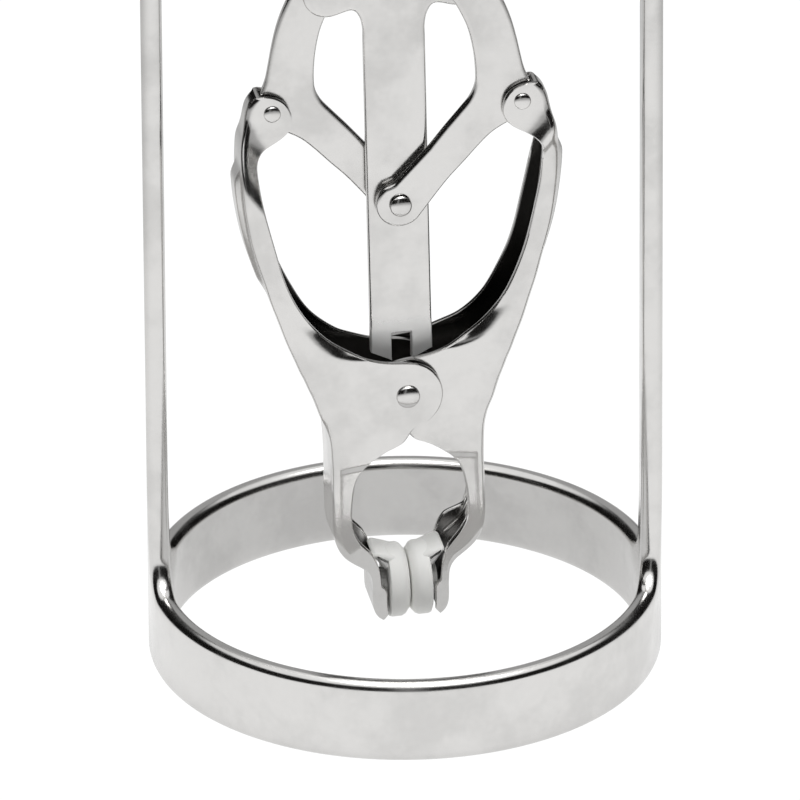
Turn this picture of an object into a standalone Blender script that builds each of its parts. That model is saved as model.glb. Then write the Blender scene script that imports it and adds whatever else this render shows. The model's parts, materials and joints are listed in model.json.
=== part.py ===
"""Clover clamp hung in a ring-based pulling frame.

The frame is a turned ring with two upright flat bars and a bent bridge. A knurled nut on the bridge
draws a screw up, and a swivel yoke on the screw carries the clamp: a flat pull bar, two finger-loop
links on a common rivet, and two stamped channel arms that cross at the main rivet and end in cups
with rubber pads. Everything is in metres, +Z up, with the origin at the middle of the ring's foot.
"""

import math

import bmesh
import bpy
from mathutils import Matrix, Vector

MM = 0.001

# Frame, in millimetres
RING_OUTER_R = 29.0
WALL = 2.4
RING_HEIGHT = 9.8
RIM_R = 1.0
BAR_WIDTH = 8.2
WELD_GAP = 0.3
FOOT_FLARE = 3.2
FOOT_HEIGHT = 4.0
BRIDGE_TOP = 119.4
BRIDGE_BEND_R = 7.0
POST_TOP = 110.0
BRIDGE_HOLE_R = 2.85

# Lifting screw, nut and yoke
SCREW_R = 2.5
SCREW_TOP = 133.0
SCREW_SHOULDER = 102.0
SCREW_NECK_R = 1.5
BUTTON_R = 2.6
BUTTON_TOP = 99.8
BUTTON_BOTTOM = 98.0
WASHER_R = 5.0
WASHER_BOTTOM = 119.6
WASHER_THICK = 1.0
NUT_BOTTOM = 120.9
NUT_HEIGHT = 8.0
NUT_R = 7.2
KNURL_DEPTH = 0.45
KNURL_COUNT = 30
YOKE_TOP = 101.5
YOKE_BOTTOM = 89.0
YOKE_SHEET = 1.2
YOKE_HALF = 4.5
YOKE_LEG = 6.0
YOKE_BEND_R = 2.0
PIN_R = 1.1

# Clamp, seen from the front: u is to the right of the pull bar's middle line, and heights are above
# the ring's foot when the clamp hangs straight. v is depth, away from the viewer.
CLAMP_YAW = math.radians(9.0)
CLAMP_LEAN = math.radians(-0.93)
PIN_HEIGHT = 92.0
HANG_SHIFT = -1.15
EYE = (0.0, 91.35)
EYE_R = 2.6
SPACER_R = 3.2
BAR_HALF_THICK = 0.65
BAR_HALF_WIDTH = 3.5
LINK_THICK = 1.1
SHEET = 0.75
LAYER_GAP = 0.25
LINK_RIVET = (0.0, 56.2)
ARM_RIVET = (13.9, 68.0)
MAIN_RIVET = (0.0, 33.4)
OUTER_FLANGE = 4.2
INNER_FLANGE = 3.15
SHAFT_R = 0.75
HOLE_R = 1.05
HEAD_R = 1.25
PAD_R = 4.25
PAD_HEIGHT = 8.5
PAD_BACK = 2.45
PAD_GAP = 0.1
PAD_NECK_R = 1.5
PAD_NECK_END = 3.35
FLAP = [(1.1, 11.0), (2.6, 10.6), (3.05, 11.2), (3.6, 12.1), (4.1, 12.7), (3.7, 13.1), (2.6, 12.5), (1.3, 12.1)]
FLAP_DEPTH = (-2.1, 2.1)
SPRING_WIRE_R = 0.2
SPRING_COIL_R = 1.55
SPRING_TURNS = 1.5

LINK_NEAR = BAR_HALF_THICK + LAYER_GAP
LINK_FAR = LINK_NEAR + LINK_THICK
EAR_FAR = LINK_FAR + LAYER_GAP + SHEET
EAR_NEAR = BAR_HALF_THICK - SHEET

STEEL = (0.80, 0.79, 0.77, 1.0)
RUBBER = (0.90, 0.90, 0.88, 1.0)


# Scene and small helpers


def clear_scene():
    for obj in list(bpy.data.objects):
        bpy.data.objects.remove(obj, do_unlink=True)


def collection(name):
    made = bpy.data.collections.new(name)
    bpy.context.scene.collection.children.link(made)
    return made


def material(name, color, roughness, metallic):
    made = bpy.data.materials.new(name)
    made.use_nodes = True
    shader = made.node_tree.nodes["Principled BSDF"]
    shader.inputs["Base Color"].default_value = color
    shader.inputs["Roughness"].default_value = roughness
    shader.inputs["Metallic"].default_value = metallic
    return made


def link_in(obj, group, finish=None, parent=None, place=(0, 0, 0)):
    """Put an object in its collection, under its parent, at a place in millimetres."""
    group.objects.link(obj)
    obj.parent = parent
    obj.location = Vector(place) * MM
    if finish:
        obj.data.materials.append(finish)
    return obj


def empty(name, group, parent=None, place=(0, 0, 0), turn=(0, 0, 0)):
    made = bpy.data.objects.new(name, None)
    link_in(made, group, None, parent, place)
    made.rotation_euler = turn
    return made


def mesh_object(name, shape):
    """A named object from a bmesh in millimetres."""
    bmesh.ops.scale(shape, vec=(MM, MM, MM), verts=shape.verts)
    bmesh.ops.recalc_face_normals(shape, faces=shape.faces)
    mesh = bpy.data.meshes.new(name)
    shape.to_mesh(mesh)
    shape.free()
    mesh.shade_smooth()
    mesh.set_sharp_from_angle(angle=math.radians(35))
    return bpy.data.objects.new(name, mesh)


def arc(middle, radius, start, end, steps):
    """Points on a circle from one angle to another, in degrees."""
    angles = [math.radians(start + (end - start) * i / steps) for i in range(steps + 1)]
    return [(middle[0] + radius * math.cos(a), middle[1] + radius * math.sin(a)) for a in angles]


def smooth(points, steps=3):
    """Points on a Catmull-Rom curve through the given ones."""
    ends = [points[0]] + list(points) + [points[-1]]
    found = []
    for a, b, c, d in zip(ends, ends[1:], ends[2:], ends[3:]):
        for i in range(steps):
            t = i / steps
            found.append(
                tuple(
                    0.5 * (2 * q + (r - p) * t + (2 * p - 5 * q + 4 * r - s) * t**2)
                    + 0.5 * (3 * q - p - 3 * r + s) * t**3
                    for p, q, r, s in zip(a, b, c, d)
                )
            )
    return found + [tuple(points[-1])]


def loft(name, loops):
    """One closed body through loops of equally many points, capped at both ends."""
    shape = bmesh.new()
    rows = [[shape.verts.new(point) for point in loop] for loop in loops]
    count = len(rows[0])
    for low, high in zip(rows, rows[1:]):
        for i in range(count):
            j = (i + 1) % count
            shape.faces.new((low[i], low[j], high[j], high[i]))
    shape.faces.new(rows[0])
    shape.faces.new(rows[-1])
    return mesh_object(name, shape)


def turned(name, profile, steps=24):
    """A turned body: the profile runs down its outer side as (radius, height) in millimetres."""
    mesh = bpy.data.meshes.new(name)
    edges = [(i, i + 1) for i in range(len(profile) - 1)]
    if profile[0][0] > 0:
        edges.append((len(profile) - 1, 0))
    mesh.from_pydata([(r * MM, 0, h * MM) for r, h in profile], edges, [])
    obj = bpy.data.objects.new(name, mesh)
    screw = obj.modifiers.new("Turn", "SCREW")
    screw.steps = screw.render_steps = steps
    screw.use_merge_vertices = True
    screw.merge_threshold = 0.00001
    screw.use_smooth_shade = True
    return obj


def plate(name, outline, holes, thickness):
    """A flat plate standing in the XZ plane, from an outline and round holes, in millimetres."""
    curve = bpy.data.curves.new(name, "CURVE")
    curve.dimensions = "2D"
    curve.fill_mode = "BOTH"
    curve.extrude = thickness / 2 * MM
    for points in [outline] + [arc(middle, r, 0, 345, 23) for middle, r in holes]:
        spline = curve.splines.new("POLY")
        spline.points.add(len(points) - 1)
        for target, point in zip(spline.points, points):
            target.co = (point[0] * MM, point[1] * MM, 0, 1)
        spline.use_cyclic_u = True
    obj = bpy.data.objects.new(name, curve)
    obj.rotation_euler = (math.pi / 2, 0, 0)
    return obj


def cutter(name, group, radius, low, high, middle, axis, parent):
    """A round cutter along Y or Z through a parent's part, in millimetres."""
    shape = bmesh.new()
    bmesh.ops.create_cone(
        shape, cap_ends=True, segments=24, radius1=radius, radius2=radius, depth=high - low
    )
    if axis == "Y":
        bmesh.ops.rotate(shape, matrix=Matrix.Rotation(math.pi / 2, 3, "X"), verts=shape.verts)
    obj = mesh_object(name, shape)
    along = (low + high) / 2
    place = (middle[0], along, middle[1]) if axis == "Y" else (middle[0], middle[1], along)
    link_in(obj, group, None, parent, place)
    obj.hide_render = True
    obj.display_type = "WIRE"
    return obj


def drill(obj, hole):
    cut = obj.modifiers.new("Hole", "BOOLEAN")
    cut.object = hole
    cut.operation = "DIFFERENCE"


# Frame


def stadium(half_width, half_thick, steps=6):
    """A flat bar's section with full round edges: points (across, through)."""
    run = half_width - half_thick
    return arc((run, 0), half_thick, -90, 90, steps) + arc((-run, 0), half_thick, 90, 270, steps)


def soft_corners(half_width, half_height, radius, steps=4):
    """A rectangle's outline with rounded corners, from the lower right one round."""
    x, z = half_width - radius, half_height - radius
    corners = (((x, -z), -90), ((x, z), 0), ((-x, z), 90), ((-x, -z), 180))
    return [p for middle, start in corners for p in arc(middle, radius, start, start + 90, steps)]


def make_ring(group, finish):
    """The foot ring: a turned band with rounded rims that keep a narrow flat to stand on."""
    middle = RING_OUTER_R - WALL / 2
    half = RING_HEIGHT / 2
    section = soft_corners(WALL / 2, half, RIM_R)
    profile = [(middle + across, half + rise) for across, rise in section]
    ring = turned("base_ring", profile[::-1], 64)
    link_in(ring, group, finish)


def post_loop(side, height):
    """One level of a post. Its foot flares along the ring's curve, and the bar above is flat."""
    above = height - RING_HEIGHT - WELD_GAP
    rise = min(1.0, max(0.0, above / FOOT_HEIGHT))
    flare = FOOT_FLARE * (1 - math.sqrt(1 - (1 - rise) ** 2))
    middle = RING_OUTER_R - WALL / 2
    loop = []
    for across, through in stadium(BAR_WIDTH / 2 + flare, WALL / 2):
        angle = across / middle
        radius = middle + through
        curved = (radius * math.cos(angle), radius * math.sin(angle))
        x = curved[0] + (radius - curved[0]) * rise
        y = curved[1] + (across - curved[1]) * rise
        loop.append((side * x, side * y, height))
    return loop


def make_post(name, side, group, finish):
    foot = RING_HEIGHT + WELD_GAP
    levels = [foot + FOOT_HEIGHT * (i / 6) ** 1.6 for i in range(7)] + [POST_TOP]
    link_in(loft(name, [post_loop(side, level) for level in levels]), group, finish)


def bridge_path():
    """The bridge's middle line (x, z) with its direction, up one post and down the other."""
    side = RING_OUTER_R - WALL / 2
    top = BRIDGE_TOP - WALL / 2
    bend = BRIDGE_BEND_R
    path = [((side, POST_TOP + WELD_GAP), 90)]
    for i in range(9):
        path.append((arc((side - bend, top - bend), bend, 0, 90, 8)[i], 90 + 90 * i / 8))
    mirrored = [((-point[0], point[1]), 360 - turn) for point, turn in reversed(path)]
    return path + mirrored


def make_bridge(group, cutters, finish):
    loops = []
    for (x, z), turn in bridge_path():
        out = math.radians(turn - 90)
        loops.append(
            [
                (x + through * math.cos(out), across, z + through * math.sin(out))
                for across, through in stadium(BAR_WIDTH / 2, WALL / 2)
            ]
        )
    bridge = link_in(loft("top_bridge", loops), group, finish)
    hole = cutter(
        "bridge_hole", cutters, BRIDGE_HOLE_R, BRIDGE_TOP - 6, BRIDGE_TOP + 4, (0, 0), "Z", None
    )
    drill(bridge, hole)


# Lifting screw, nut, washer and yoke


def make_washer(group, finish):
    low, high = WASHER_BOTTOM, WASHER_BOTTOM + WASHER_THICK
    inner = BRIDGE_HOLE_R
    profile = [(inner, high), (WASHER_R, high), (WASHER_R, low), (inner, low)]
    link_in(turned("thrust_washer", profile, 32), group, finish)


def make_nut(group, finish):
    """The thumb nut: a knurled head, with a bevelled rim, over a clear bore for the screw."""
    count = KNURL_COUNT * 2

    def loop(height, inset):
        points = []
        for i in range(count):
            radius = NUT_R - inset - (KNURL_DEPTH if i % 2 else 0)
            angle = 2 * math.pi * i / count
            points.append((radius * math.cos(angle), radius * math.sin(angle), height))
        return points

    levels = [(0, 0.6), (0.7, 0), (NUT_HEIGHT - 0.7, 0), (NUT_HEIGHT, 0.6)]
    nut = loft("thumb_nut", [loop(NUT_BOTTOM + height, inset) for height, inset in levels])
    return link_in(nut, group, finish)


def make_screw(group, finish):
    """The screw: a plain rod here, a neck through the yoke and a button that carries it."""
    profile = [
        (0, SCREW_TOP),
        (SCREW_R - 0.5, SCREW_TOP),
        (SCREW_R, SCREW_TOP - 0.5),
        (SCREW_R, SCREW_SHOULDER + 0.4),
        (SCREW_R - 0.4, SCREW_SHOULDER),
        (SCREW_NECK_R, SCREW_SHOULDER),
        (SCREW_NECK_R, BUTTON_TOP),
        (BUTTON_R, BUTTON_TOP),
        (BUTTON_R, BUTTON_BOTTOM + 0.6),
        (BUTTON_R - 0.8, BUTTON_BOTTOM),
        (0, BUTTON_BOTTOM),
    ]
    link_in(turned("draw_screw", profile), group, finish)


def make_yoke(group, cutters, finish, turntable):
    """The stirrup: a bent strap in the depth plane, drilled for the screw's neck and the pin."""
    half, bend, sheet = YOKE_HALF, YOKE_BEND_R, YOKE_SHEET
    outer = [(half, YOKE_BOTTOM)]
    outer += arc((half - bend, YOKE_TOP - bend), bend, 0, 90, 5)
    outer += arc((bend - half, YOKE_TOP - bend), bend, 90, 180, 5) + [(-half, YOKE_BOTTOM)]
    inner = [(sheet - half, YOKE_BOTTOM)]
    inner += arc((bend - half, YOKE_TOP - bend), bend - sheet, 180, 90, 5)
    inner += arc((half - bend, YOKE_TOP - bend), bend - sheet, 90, 0, 5)
    inner += [(half - sheet, YOKE_BOTTOM)]
    strap = outer + inner
    loops = [[(u, v, h) for v, h in strap] for u in (-YOKE_LEG / 2, YOKE_LEG / 2)]
    yoke = link_in(loft("swivel_yoke", loops), group, finish, turntable)
    neck = cutter(
        "neck_hole", cutters, SCREW_NECK_R + 0.3, YOKE_TOP - 4, YOKE_TOP + 4, (0, 0), "Z", turntable
    )
    pin = cutter(
        "pin_hole", cutters, PIN_R + 0.3, -8, 8, (0, PIN_HEIGHT), "Y", turntable
    )
    drill(yoke, neck)
    drill(yoke, pin)


def rivet(name, near, far, shaft, head, group, finish, parent, place):
    """A rivet along the depth axis between two faces, with a domed head clear of each."""
    clear, dome = 0.2, 0.5
    top = far + clear
    bottom = near - clear
    profile = [(0, top + dome)]
    profile += [(head * math.sin(math.radians(a)), top + dome * math.cos(math.radians(a)))
                for a in (30, 60, 85)]
    profile += [(head, top), (shaft, top), (shaft, bottom), (head, bottom)]
    profile += [(head * math.sin(math.radians(a)), bottom - dome * math.cos(math.radians(a)))
                for a in (85, 60, 30)]
    profile += [(0, bottom - dome)]
    obj = turned(name, profile, 20)
    # Turning Z onto +Y keeps the far end away from the viewer.
    obj.rotation_euler = (-math.pi / 2, 0, 0)
    return link_in(obj, group, finish, parent, place)


def make_spacer(name, near, far, group, finish, turntable):
    inner, outer = PIN_R + 0.3, SPACER_R
    profile = [(inner, far), (outer, far), (outer, near), (inner, near)]
    obj = turned(name, profile, 20)
    obj.rotation_euler = (-math.pi / 2, 0, 0)
    link_in(obj, group, finish, turntable, (0, 0, PIN_HEIGHT))


# Pull bar and links


def relative(points, origin):
    return [(u - origin[0], h - origin[1]) for u, h in points]


def make_pull_bar(group, finish, hanger):
    """The flat bar: a notched, pointed foot and a head of two side lobes under a hanging eye."""
    half = BAR_HALF_WIDTH
    foot_low, foot_high, notch_top, notch_half = 36.3, 37.4, 39.7, 1.1
    right = [(notch_half, notch_top), (notch_half, foot_low), (half, foot_high), (half, 78.6)]
    right += [(4.6, 80.1)] + arc((7.4, 82.1), 2.75, -110, 70, 9)
    right += [(5.2, 87.2)] + arc(EYE, EYE_R + 1.9, -28, 90, 8)
    left = [(-u, h) for u, h in reversed(right)]
    eye, pivot = relative([EYE, LINK_RIVET], (0, PIN_HEIGHT))
    outline = relative(right + left[1:], (0, PIN_HEIGHT))
    bar = plate("pull_bar", outline, [(eye, EYE_R), (pivot, HOLE_R)], BAR_HALF_THICK * 2)
    return link_in(bar, group, finish, hanger)


def link_outline(side):
    """A finger-loop link: an eye on the bar's rivet, a straight arm, an eye for the arm's rivet,
    and a hook that curls over towards the bar."""
    bar_eye = arc(LINK_RIVET, 2.7, 130, 330, 10)
    under = [(7.3, 60.9), (9.8, 63.5)]
    arm_eye = arc(ARM_RIVET, 1.95, -110, 60, 8)
    outside = smooth([(14.0, 71.2), (13.75, 73.6), (13.35, 76.6), (12.6, 79.3), (11.3, 82.0)])
    over = smooth([(11.3, 82.0), (9.4, 84.3), (7.2, 85.7)])[1:]
    tip = arc((6.4, 83.5), 2.3, 70, 230, 7)
    inside = smooth([(5.2, 81.3), (6.5, 80.4), (7.6, 78.5), (8.4, 76.0), (8.8, 73.3), (8.85, 70.8)])
    window = smooth([(8.85, 70.8), (8.3, 68.8), (6.6, 66.6)])[1:]
    points = bar_eye + under + arm_eye + outside + over + tip + inside + window
    return [(side * u, h) for u, h in points]


def make_link(name, side, group, finish, hinge):
    place = -side * (LINK_NEAR + LINK_THICK / 2)
    outline = relative(link_outline(side), LINK_RIVET)
    arm_hole = relative([(side * ARM_RIVET[0], ARM_RIVET[1])], LINK_RIVET)[0]
    holes = [((0, 0), HOLE_R), (arm_hole, HOLE_R)]
    link = plate(name, outline, holes, LINK_THICK)
    return link_in(link, group, finish, hinge, (0, place, 0))


# Channel arms. Points are (u outwards, height). Each station pairs a point on the outer web with
# the flanges' inner edge, from the clevis ears down to the jaw cup's lip.


def arm_stations():
    pivot_u, pivot_h = MAIN_RIVET
    ear = [
        ((15.6, 70.1), (15.0, 70.15)),
        ((15.95, 69.9), (13.6, 69.85)),
        ((16.5, 69.2), (12.5, 69.2)),
        ((16.85, 68.3), (11.85, 68.2)),
        ((17.05, 67.2), (11.65, 67.0)),
        ((17.3, 66.0), (12.0, 65.7)),
        ((17.65, 64.9), (13.4, 64.5)),
    ]
    upper = [
        ((17.9, 63.4), (15.8, 63.1)),
        ((18.0, 61.3), (16.0, 61.0)),
        ((17.9, 58.8), (15.75, 58.4)),
        ((17.6, 56.2), (15.15, 55.6)),
        ((17.2, 53.7), (14.5, 52.8)),
        ((16.6, 51.2), (13.9, 50.2)),
        ((15.85, 48.7), (13.05, 47.5)),
        ((15.2, 46.2), (11.8, 44.9)),
        ((14.4, 43.8), (10.2, 42.5)),
        ((13.6, 41.2), (8.3, 40.5)),
        ((12.7, 38.9), (5.8, 38.95)),
    ]
    lobe = []
    outer = [(12.2, 37.5), (11.7, 36.4), (11.3, 35.3), (10.8, 34.1), (10.4, 32.9), (10.0, 31.6)]
    outer += [(9.5, 30.5), (9.15, 29.4)]
    for point, angle in zip(outer, (72, 98, 125, 150, 180, 212, 240, 262)):
        turn = math.radians(angle)
        inner = (pivot_u + 4.05 * math.cos(turn), pivot_h + 4.05 * math.sin(turn))
        lobe.append((point, inner if angle > 80 else (2.6, 37.7)))
    leg = [
        ((8.95, 28.4), (0.6, 27.5)),
        ((8.85, 27.3), (2.4, 26.75)),
        ((8.8, 26.0), (4.4, 25.4)),
        ((8.75, 24.2), (5.75, 23.9)),
        ((8.8, 22.2), (6.4, 22.0)),
        ((8.8, 19.5), (6.7, 19.4)),
        ((8.8, 17.0), (6.65, 17.3)),
        ((8.45, 15.1), (6.2, 16.2)),
        ((7.75, 13.75), (5.6, 15.2)),
        ((6.75, 12.75), (4.9, 14.4)),
        ((5.6, 11.9), (4.3, 13.6)),
    ]
    jaw = [
        ((4.75, 11.1), (3.75, 12.2)),
        ((4.45, 10.2), (3.45, 10.6)),
        ((4.4, 9.3), (3.4, 9.5)),
        ((4.4, 8.8), (2.75, 8.9)),
        ((4.4, 7.4), (2.75, 7.6)),
        ((4.3, 6.4), (2.75, 6.9)),
        ((3.95, 5.6), (2.75, 6.3)),
        ((3.35, 5.15), (2.72, 5.9)),
    ]
    return ear + upper + lobe + leg + jaw


def flange_faces(height):
    """Depth of the two flanges' outer faces: close round the link at the ears, wide below."""
    spread = min(1.0, max(0.0, (66.2 - height) / 9.5))
    spread = spread * spread * (3 - 2 * spread)
    squeeze = min(1.0, max(0.0, (14.0 - height) / 4.0))
    front = -EAR_NEAR + (OUTER_FLANGE + EAR_NEAR) * spread
    back = EAR_FAR + (INNER_FLANGE - EAR_FAR) * spread
    return -(front + (3.6 - front) * squeeze), back + (3.3 - back) * squeeze


def arm_loop(outer, inner, side):
    """A channel section: web outside, two flanges running inwards, all of one sheet."""
    front, back = flange_faces(outer[1])
    across = Vector((inner[0] - outer[0], inner[1] - outer[1]))
    reach = across.length
    across.normalize()
    bend = min(0.8, reach * 0.4)
    corner = [(bend * (1 - math.sin(t)), bend * (1 - math.cos(t)))
              for t in (0, math.pi / 6, math.pi / 3, math.pi / 2)]
    section = [(reach, front)] + [(n, front + d) for n, d in corner]
    section += [(n, back - d) for n, d in reversed(corner)] + [(reach, back)]
    wall = min(SHEET, reach * 0.9)
    section += [(reach, back - SHEET), (wall, back - SHEET)]
    section += [(wall, front + SHEET), (reach, front + SHEET)]
    loop = []
    for inward, depth in section:
        u = outer[0] + across.x * inward - ARM_RIVET[0]
        h = outer[1] + across.y * inward - ARM_RIVET[1]
        loop.append((side * u, -side * depth, h))
    return loop


def make_arm(name, side, group, cutters, finish, hinge):
    """side is -1 for the left arm. The right arm is the same stamping turned half round."""
    loops = [arm_loop(outer, inner, side) for outer, inner in arm_stations()]
    arm = link_in(loft(name, loops), group, finish, hinge)
    pivot = (MAIN_RIVET[0] - side * ARM_RIVET[0], MAIN_RIVET[1] - ARM_RIVET[1])
    for label, middle in (("ear", (0, 0)), ("pivot", pivot)):
        hole = cutter(f"{name}_{label}_hole", cutters, HOLE_R, -8, 8, middle, "Y", hinge)
        drill(arm, hole)


def make_pad(name, side, group, cutters, finish, hinge):
    """A rubber pad: a bevelled disc facing the other pad, a neck into the cup, and a top flap."""
    steps = 20
    back = PAD_BACK
    rings = [(PAD_GAP, PAD_R - 0.9), (PAD_GAP + 0.5, PAD_R), (back - 0.35, PAD_R)]
    rings += [(back, PAD_R - 0.35), (back, PAD_NECK_R), (PAD_NECK_END, PAD_NECK_R)]
    loops = []
    for u, radius in rings:
        ring = arc((0, PAD_HEIGHT - ARM_RIVET[1]), radius, 0, 360 - 360 / steps, steps - 1)
        loops.append([(side * (u - ARM_RIVET[0]), v, h) for v, h in ring])
    pad = link_in(loft(name, loops), group, finish, hinge)
    flap = loft(name + "_flap", [
        [(side * (u - ARM_RIVET[0]), side * v, h - ARM_RIVET[1]) for u, h in FLAP]
        for v in FLAP_DEPTH
    ])
    link_in(flap, cutters, None, hinge)
    flap.hide_render = True
    flap.display_type = "WIRE"
    join = pad.modifiers.new("Flap", "BOOLEAN")
    join.object = flap
    join.operation = "UNION"


# Springs


def make_spring(name, side, group, finish, hinge):
    """One coil of the closing spring with its leg, which presses on the web of its own arm."""
    near = LINK_NEAR + 0.35
    pivot = Vector((MAIN_RIVET[0] - side * ARM_RIVET[0], 0, MAIN_RIVET[1] - ARM_RIVET[1]))
    points = []
    steps = int(SPRING_TURNS * 14)
    for i in range(steps + 1):
        turn = 2 * math.pi * SPRING_TURNS * i / steps
        angle = math.pi / 2 - turn
        depth = near + 0.5 * turn / (2 * math.pi)
        points.append((-side * -SPRING_COIL_R * math.cos(angle), depth, SPRING_COIL_R * math.sin(angle)))
    tail = Vector((side * 9.6, near, SPRING_COIL_R + 0.9))
    start = Vector((0.9 * side, near, SPRING_COIL_R + 0.12))
    route = [tail, start] + [Vector(point) for point in points[1:]]
    curve = bpy.data.curves.new(name, "CURVE")
    curve.dimensions = "3D"
    curve.bevel_depth = SPRING_WIRE_R * MM
    curve.bevel_resolution = 2
    curve.use_fill_caps = True
    spline = curve.splines.new("POLY")
    spline.points.add(len(route) - 1)
    for target, point in zip(spline.points, route):
        place = Vector((point.x, side * point.y, point.z)) + pivot
        target.co = (*(place * MM), 1)
    obj = bpy.data.objects.new(name, curve)
    link_in(obj, group, finish, hinge)


def make_clamp(group, cutters, steel, rubber, hanger):
    make_pull_bar(group, steel, hanger)
    height = -PIN_HEIGHT
    link_hinge = (0, 0, LINK_RIVET[1] + height)
    rivet("centre_rivet", -LINK_FAR, LINK_FAR, SHAFT_R, HEAD_R, group, steel, hanger, link_hinge)
    for word, side in (("left", -1), ("right", 1)):
        hinge = empty(word + "_link_hinge", group, hanger, link_hinge)
        make_link(word + "_link", side, group, steel, hinge)
        to_arm = (side * ARM_RIVET[0], 0, ARM_RIVET[1] - LINK_RIVET[1])
        arm_hinge = empty(word + "_arm_hinge", group, hinge, to_arm)
        make_arm(word + "_arm", side, group, cutters, steel, arm_hinge)
        near, far = sorted((-side * EAR_NEAR, -side * EAR_FAR))
        rivet(word + "_arm_rivet", near, far, SHAFT_R, HEAD_R, group, steel, arm_hinge, (0, 0, 0))
        make_pad(word + "_pad", side, group, cutters, rubber, arm_hinge)
        name = "front_spring" if side < 0 else "rear_spring"
        make_spring(name, side, group, steel, arm_hinge)
        if side < 0:
            drop = (ARM_RIVET[0], 0, MAIN_RIVET[1] - ARM_RIVET[1])
            faces = (-OUTER_FLANGE, OUTER_FLANGE)
            rivet("main_rivet", *faces, SHAFT_R, HEAD_R + 0.1, group, steel, arm_hinge, drop)


def main():
    clear_scene()
    parts = collection("clover_clamp_frame")
    cutters = collection("cutters")
    steel = material("polished_steel", STEEL, 0.15, 1.0)
    rubber = material("white_rubber", RUBBER, 0.5, 0.0)

    make_ring(parts, steel)
    make_post("left_post", -1, parts, steel)
    make_post("right_post", 1, parts, steel)
    make_bridge(parts, cutters, steel)
    make_washer(parts, steel)
    nut = make_nut(parts, steel)
    bore = cutter(
        "nut_bore", cutters, SCREW_R + 0.3, NUT_BOTTOM - 2, NUT_BOTTOM + NUT_HEIGHT + 2, (0, 0), "Z", None
    )
    drill(nut, bore)
    make_screw(parts, steel)

    turntable = empty("yoke_swivel", parts, None, (0, 0, 0), (0, 0, CLAMP_YAW))
    make_yoke(parts, cutters, steel, turntable)
    face = YOKE_HALF
    hang_point = (0, 0, PIN_HEIGHT)
    rivet("yoke_pin", -face, face, PIN_R, PIN_R + 0.8, parts, steel, turntable, hang_point)
    inside, bar_side = YOKE_HALF - YOKE_SHEET - 0.25, BAR_HALF_THICK + LAYER_GAP
    make_spacer("front_spacer", -inside, -bar_side, parts, steel, turntable)
    make_spacer("rear_spacer", bar_side, inside, parts, steel, turntable)

    hanger = empty("bar_swing", parts, turntable, hang_point, (0, CLAMP_LEAN, 0))
    clamp = empty("clamp", parts, hanger, (HANG_SHIFT, 0, 0))
    make_clamp(parts, cutters, steel, rubber, clamp)


main()
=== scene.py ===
import json
import math

import bmesh
import bpy
import numpy as np
from bpy.props import FloatProperty, FloatVectorProperty, IntProperty, PointerProperty
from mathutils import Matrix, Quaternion, Vector


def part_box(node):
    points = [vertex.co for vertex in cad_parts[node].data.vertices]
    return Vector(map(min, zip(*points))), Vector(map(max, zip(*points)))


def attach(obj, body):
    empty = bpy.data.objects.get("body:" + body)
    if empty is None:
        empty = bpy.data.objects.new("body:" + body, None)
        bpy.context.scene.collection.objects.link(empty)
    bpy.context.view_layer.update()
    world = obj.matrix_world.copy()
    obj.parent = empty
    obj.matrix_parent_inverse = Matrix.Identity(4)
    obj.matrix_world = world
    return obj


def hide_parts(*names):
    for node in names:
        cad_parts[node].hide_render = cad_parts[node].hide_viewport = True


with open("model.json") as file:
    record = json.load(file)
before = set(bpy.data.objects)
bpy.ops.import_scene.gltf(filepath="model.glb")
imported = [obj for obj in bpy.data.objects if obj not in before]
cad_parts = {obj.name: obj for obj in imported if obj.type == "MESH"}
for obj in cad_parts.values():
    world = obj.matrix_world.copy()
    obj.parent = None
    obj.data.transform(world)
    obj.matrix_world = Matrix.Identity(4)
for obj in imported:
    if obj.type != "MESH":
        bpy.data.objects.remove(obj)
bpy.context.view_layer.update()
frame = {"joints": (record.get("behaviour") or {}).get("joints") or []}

bl_info = {
    "name": "Clover clamp frame",
    "version": (1, 0, 0),
    "blender": (4, 5, 0),
    "location": "3D View > Sidebar > Clamp",
    "description": "Builds the polished clover clamp and the ring frame that pulls it, round a packed model",
    "category": "Object",
}

# Shapes are worked out in millimetres and go into the meshes in metres. The clamp's own coordinates are
# u to the right of the pull bar's middle line, v away from the viewer and height above the ring's foot.
MM = 0.001
JOINTS = {joint["name"]: joint for joint in frame["joints"]}

# How near two points are when they become one, in metres. How far inside a plate's round its flat face
# gets an extra row, in millimetres. The power that fills out the ring's half-round edges.
MERGE = 0.000002
SUPPORT = 0.04
EDGE_FULLNESS = 0.88

LINK_RIVET = (0.0, 56.2)
ARM_RIVET = (13.9, 68.0)
MAIN_RIVET = (0.0, 33.4)
PIN_HEIGHT = 92.0
EYE = (0.0, 91.35)
EYE_RADIUS = 2.6

# Clearances between the bar and a link and between a link and an ear, and where the jaw's narrower part
# of an arm starts, how long the change takes and how far its two flanges stand from the middle.
LINK_GAP = 0.25
EAR_GAP = 0.15
JAW_TOP = 14.0
JAW_BLEND = 4.0
JAW_NEAR = 3.6
JAW_BACK = 3.3

# The last columns of an arm's grid run along its inside: narrow flange, web, wide flange.
INNER_FACES = slice(-33, -2)
INNER_WEB = slice(-22, -13)

# Heights in metres between which the bar's foot turns from a painted reflection to polished steel, and the
# pale colour painted there.
FOOT_REFLECTION_HEIGHTS = (0.0385, 0.0425)
FOOT_REFLECTION_COLOR = (0.8, 0.8, 0.79, 1)

# What the metal mirrors: the ground's grey, the dark room, the softbox and the room ahead and behind.
GROUND_GREY = (0.5, 0.5, 0.5, 1)
DARK_ROOM = (0.006, 0.0055, 0.005, 1)
WHITE = (1, 1, 1, 1)
PALE_ROOM = (0.6, 0.6, 0.6, 1)


def corners_mm(node):
    """A CAD node's lowest and highest corners, in millimetres."""
    low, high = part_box(node)
    return np.array(low) / MM, np.array(high) / MM


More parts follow.
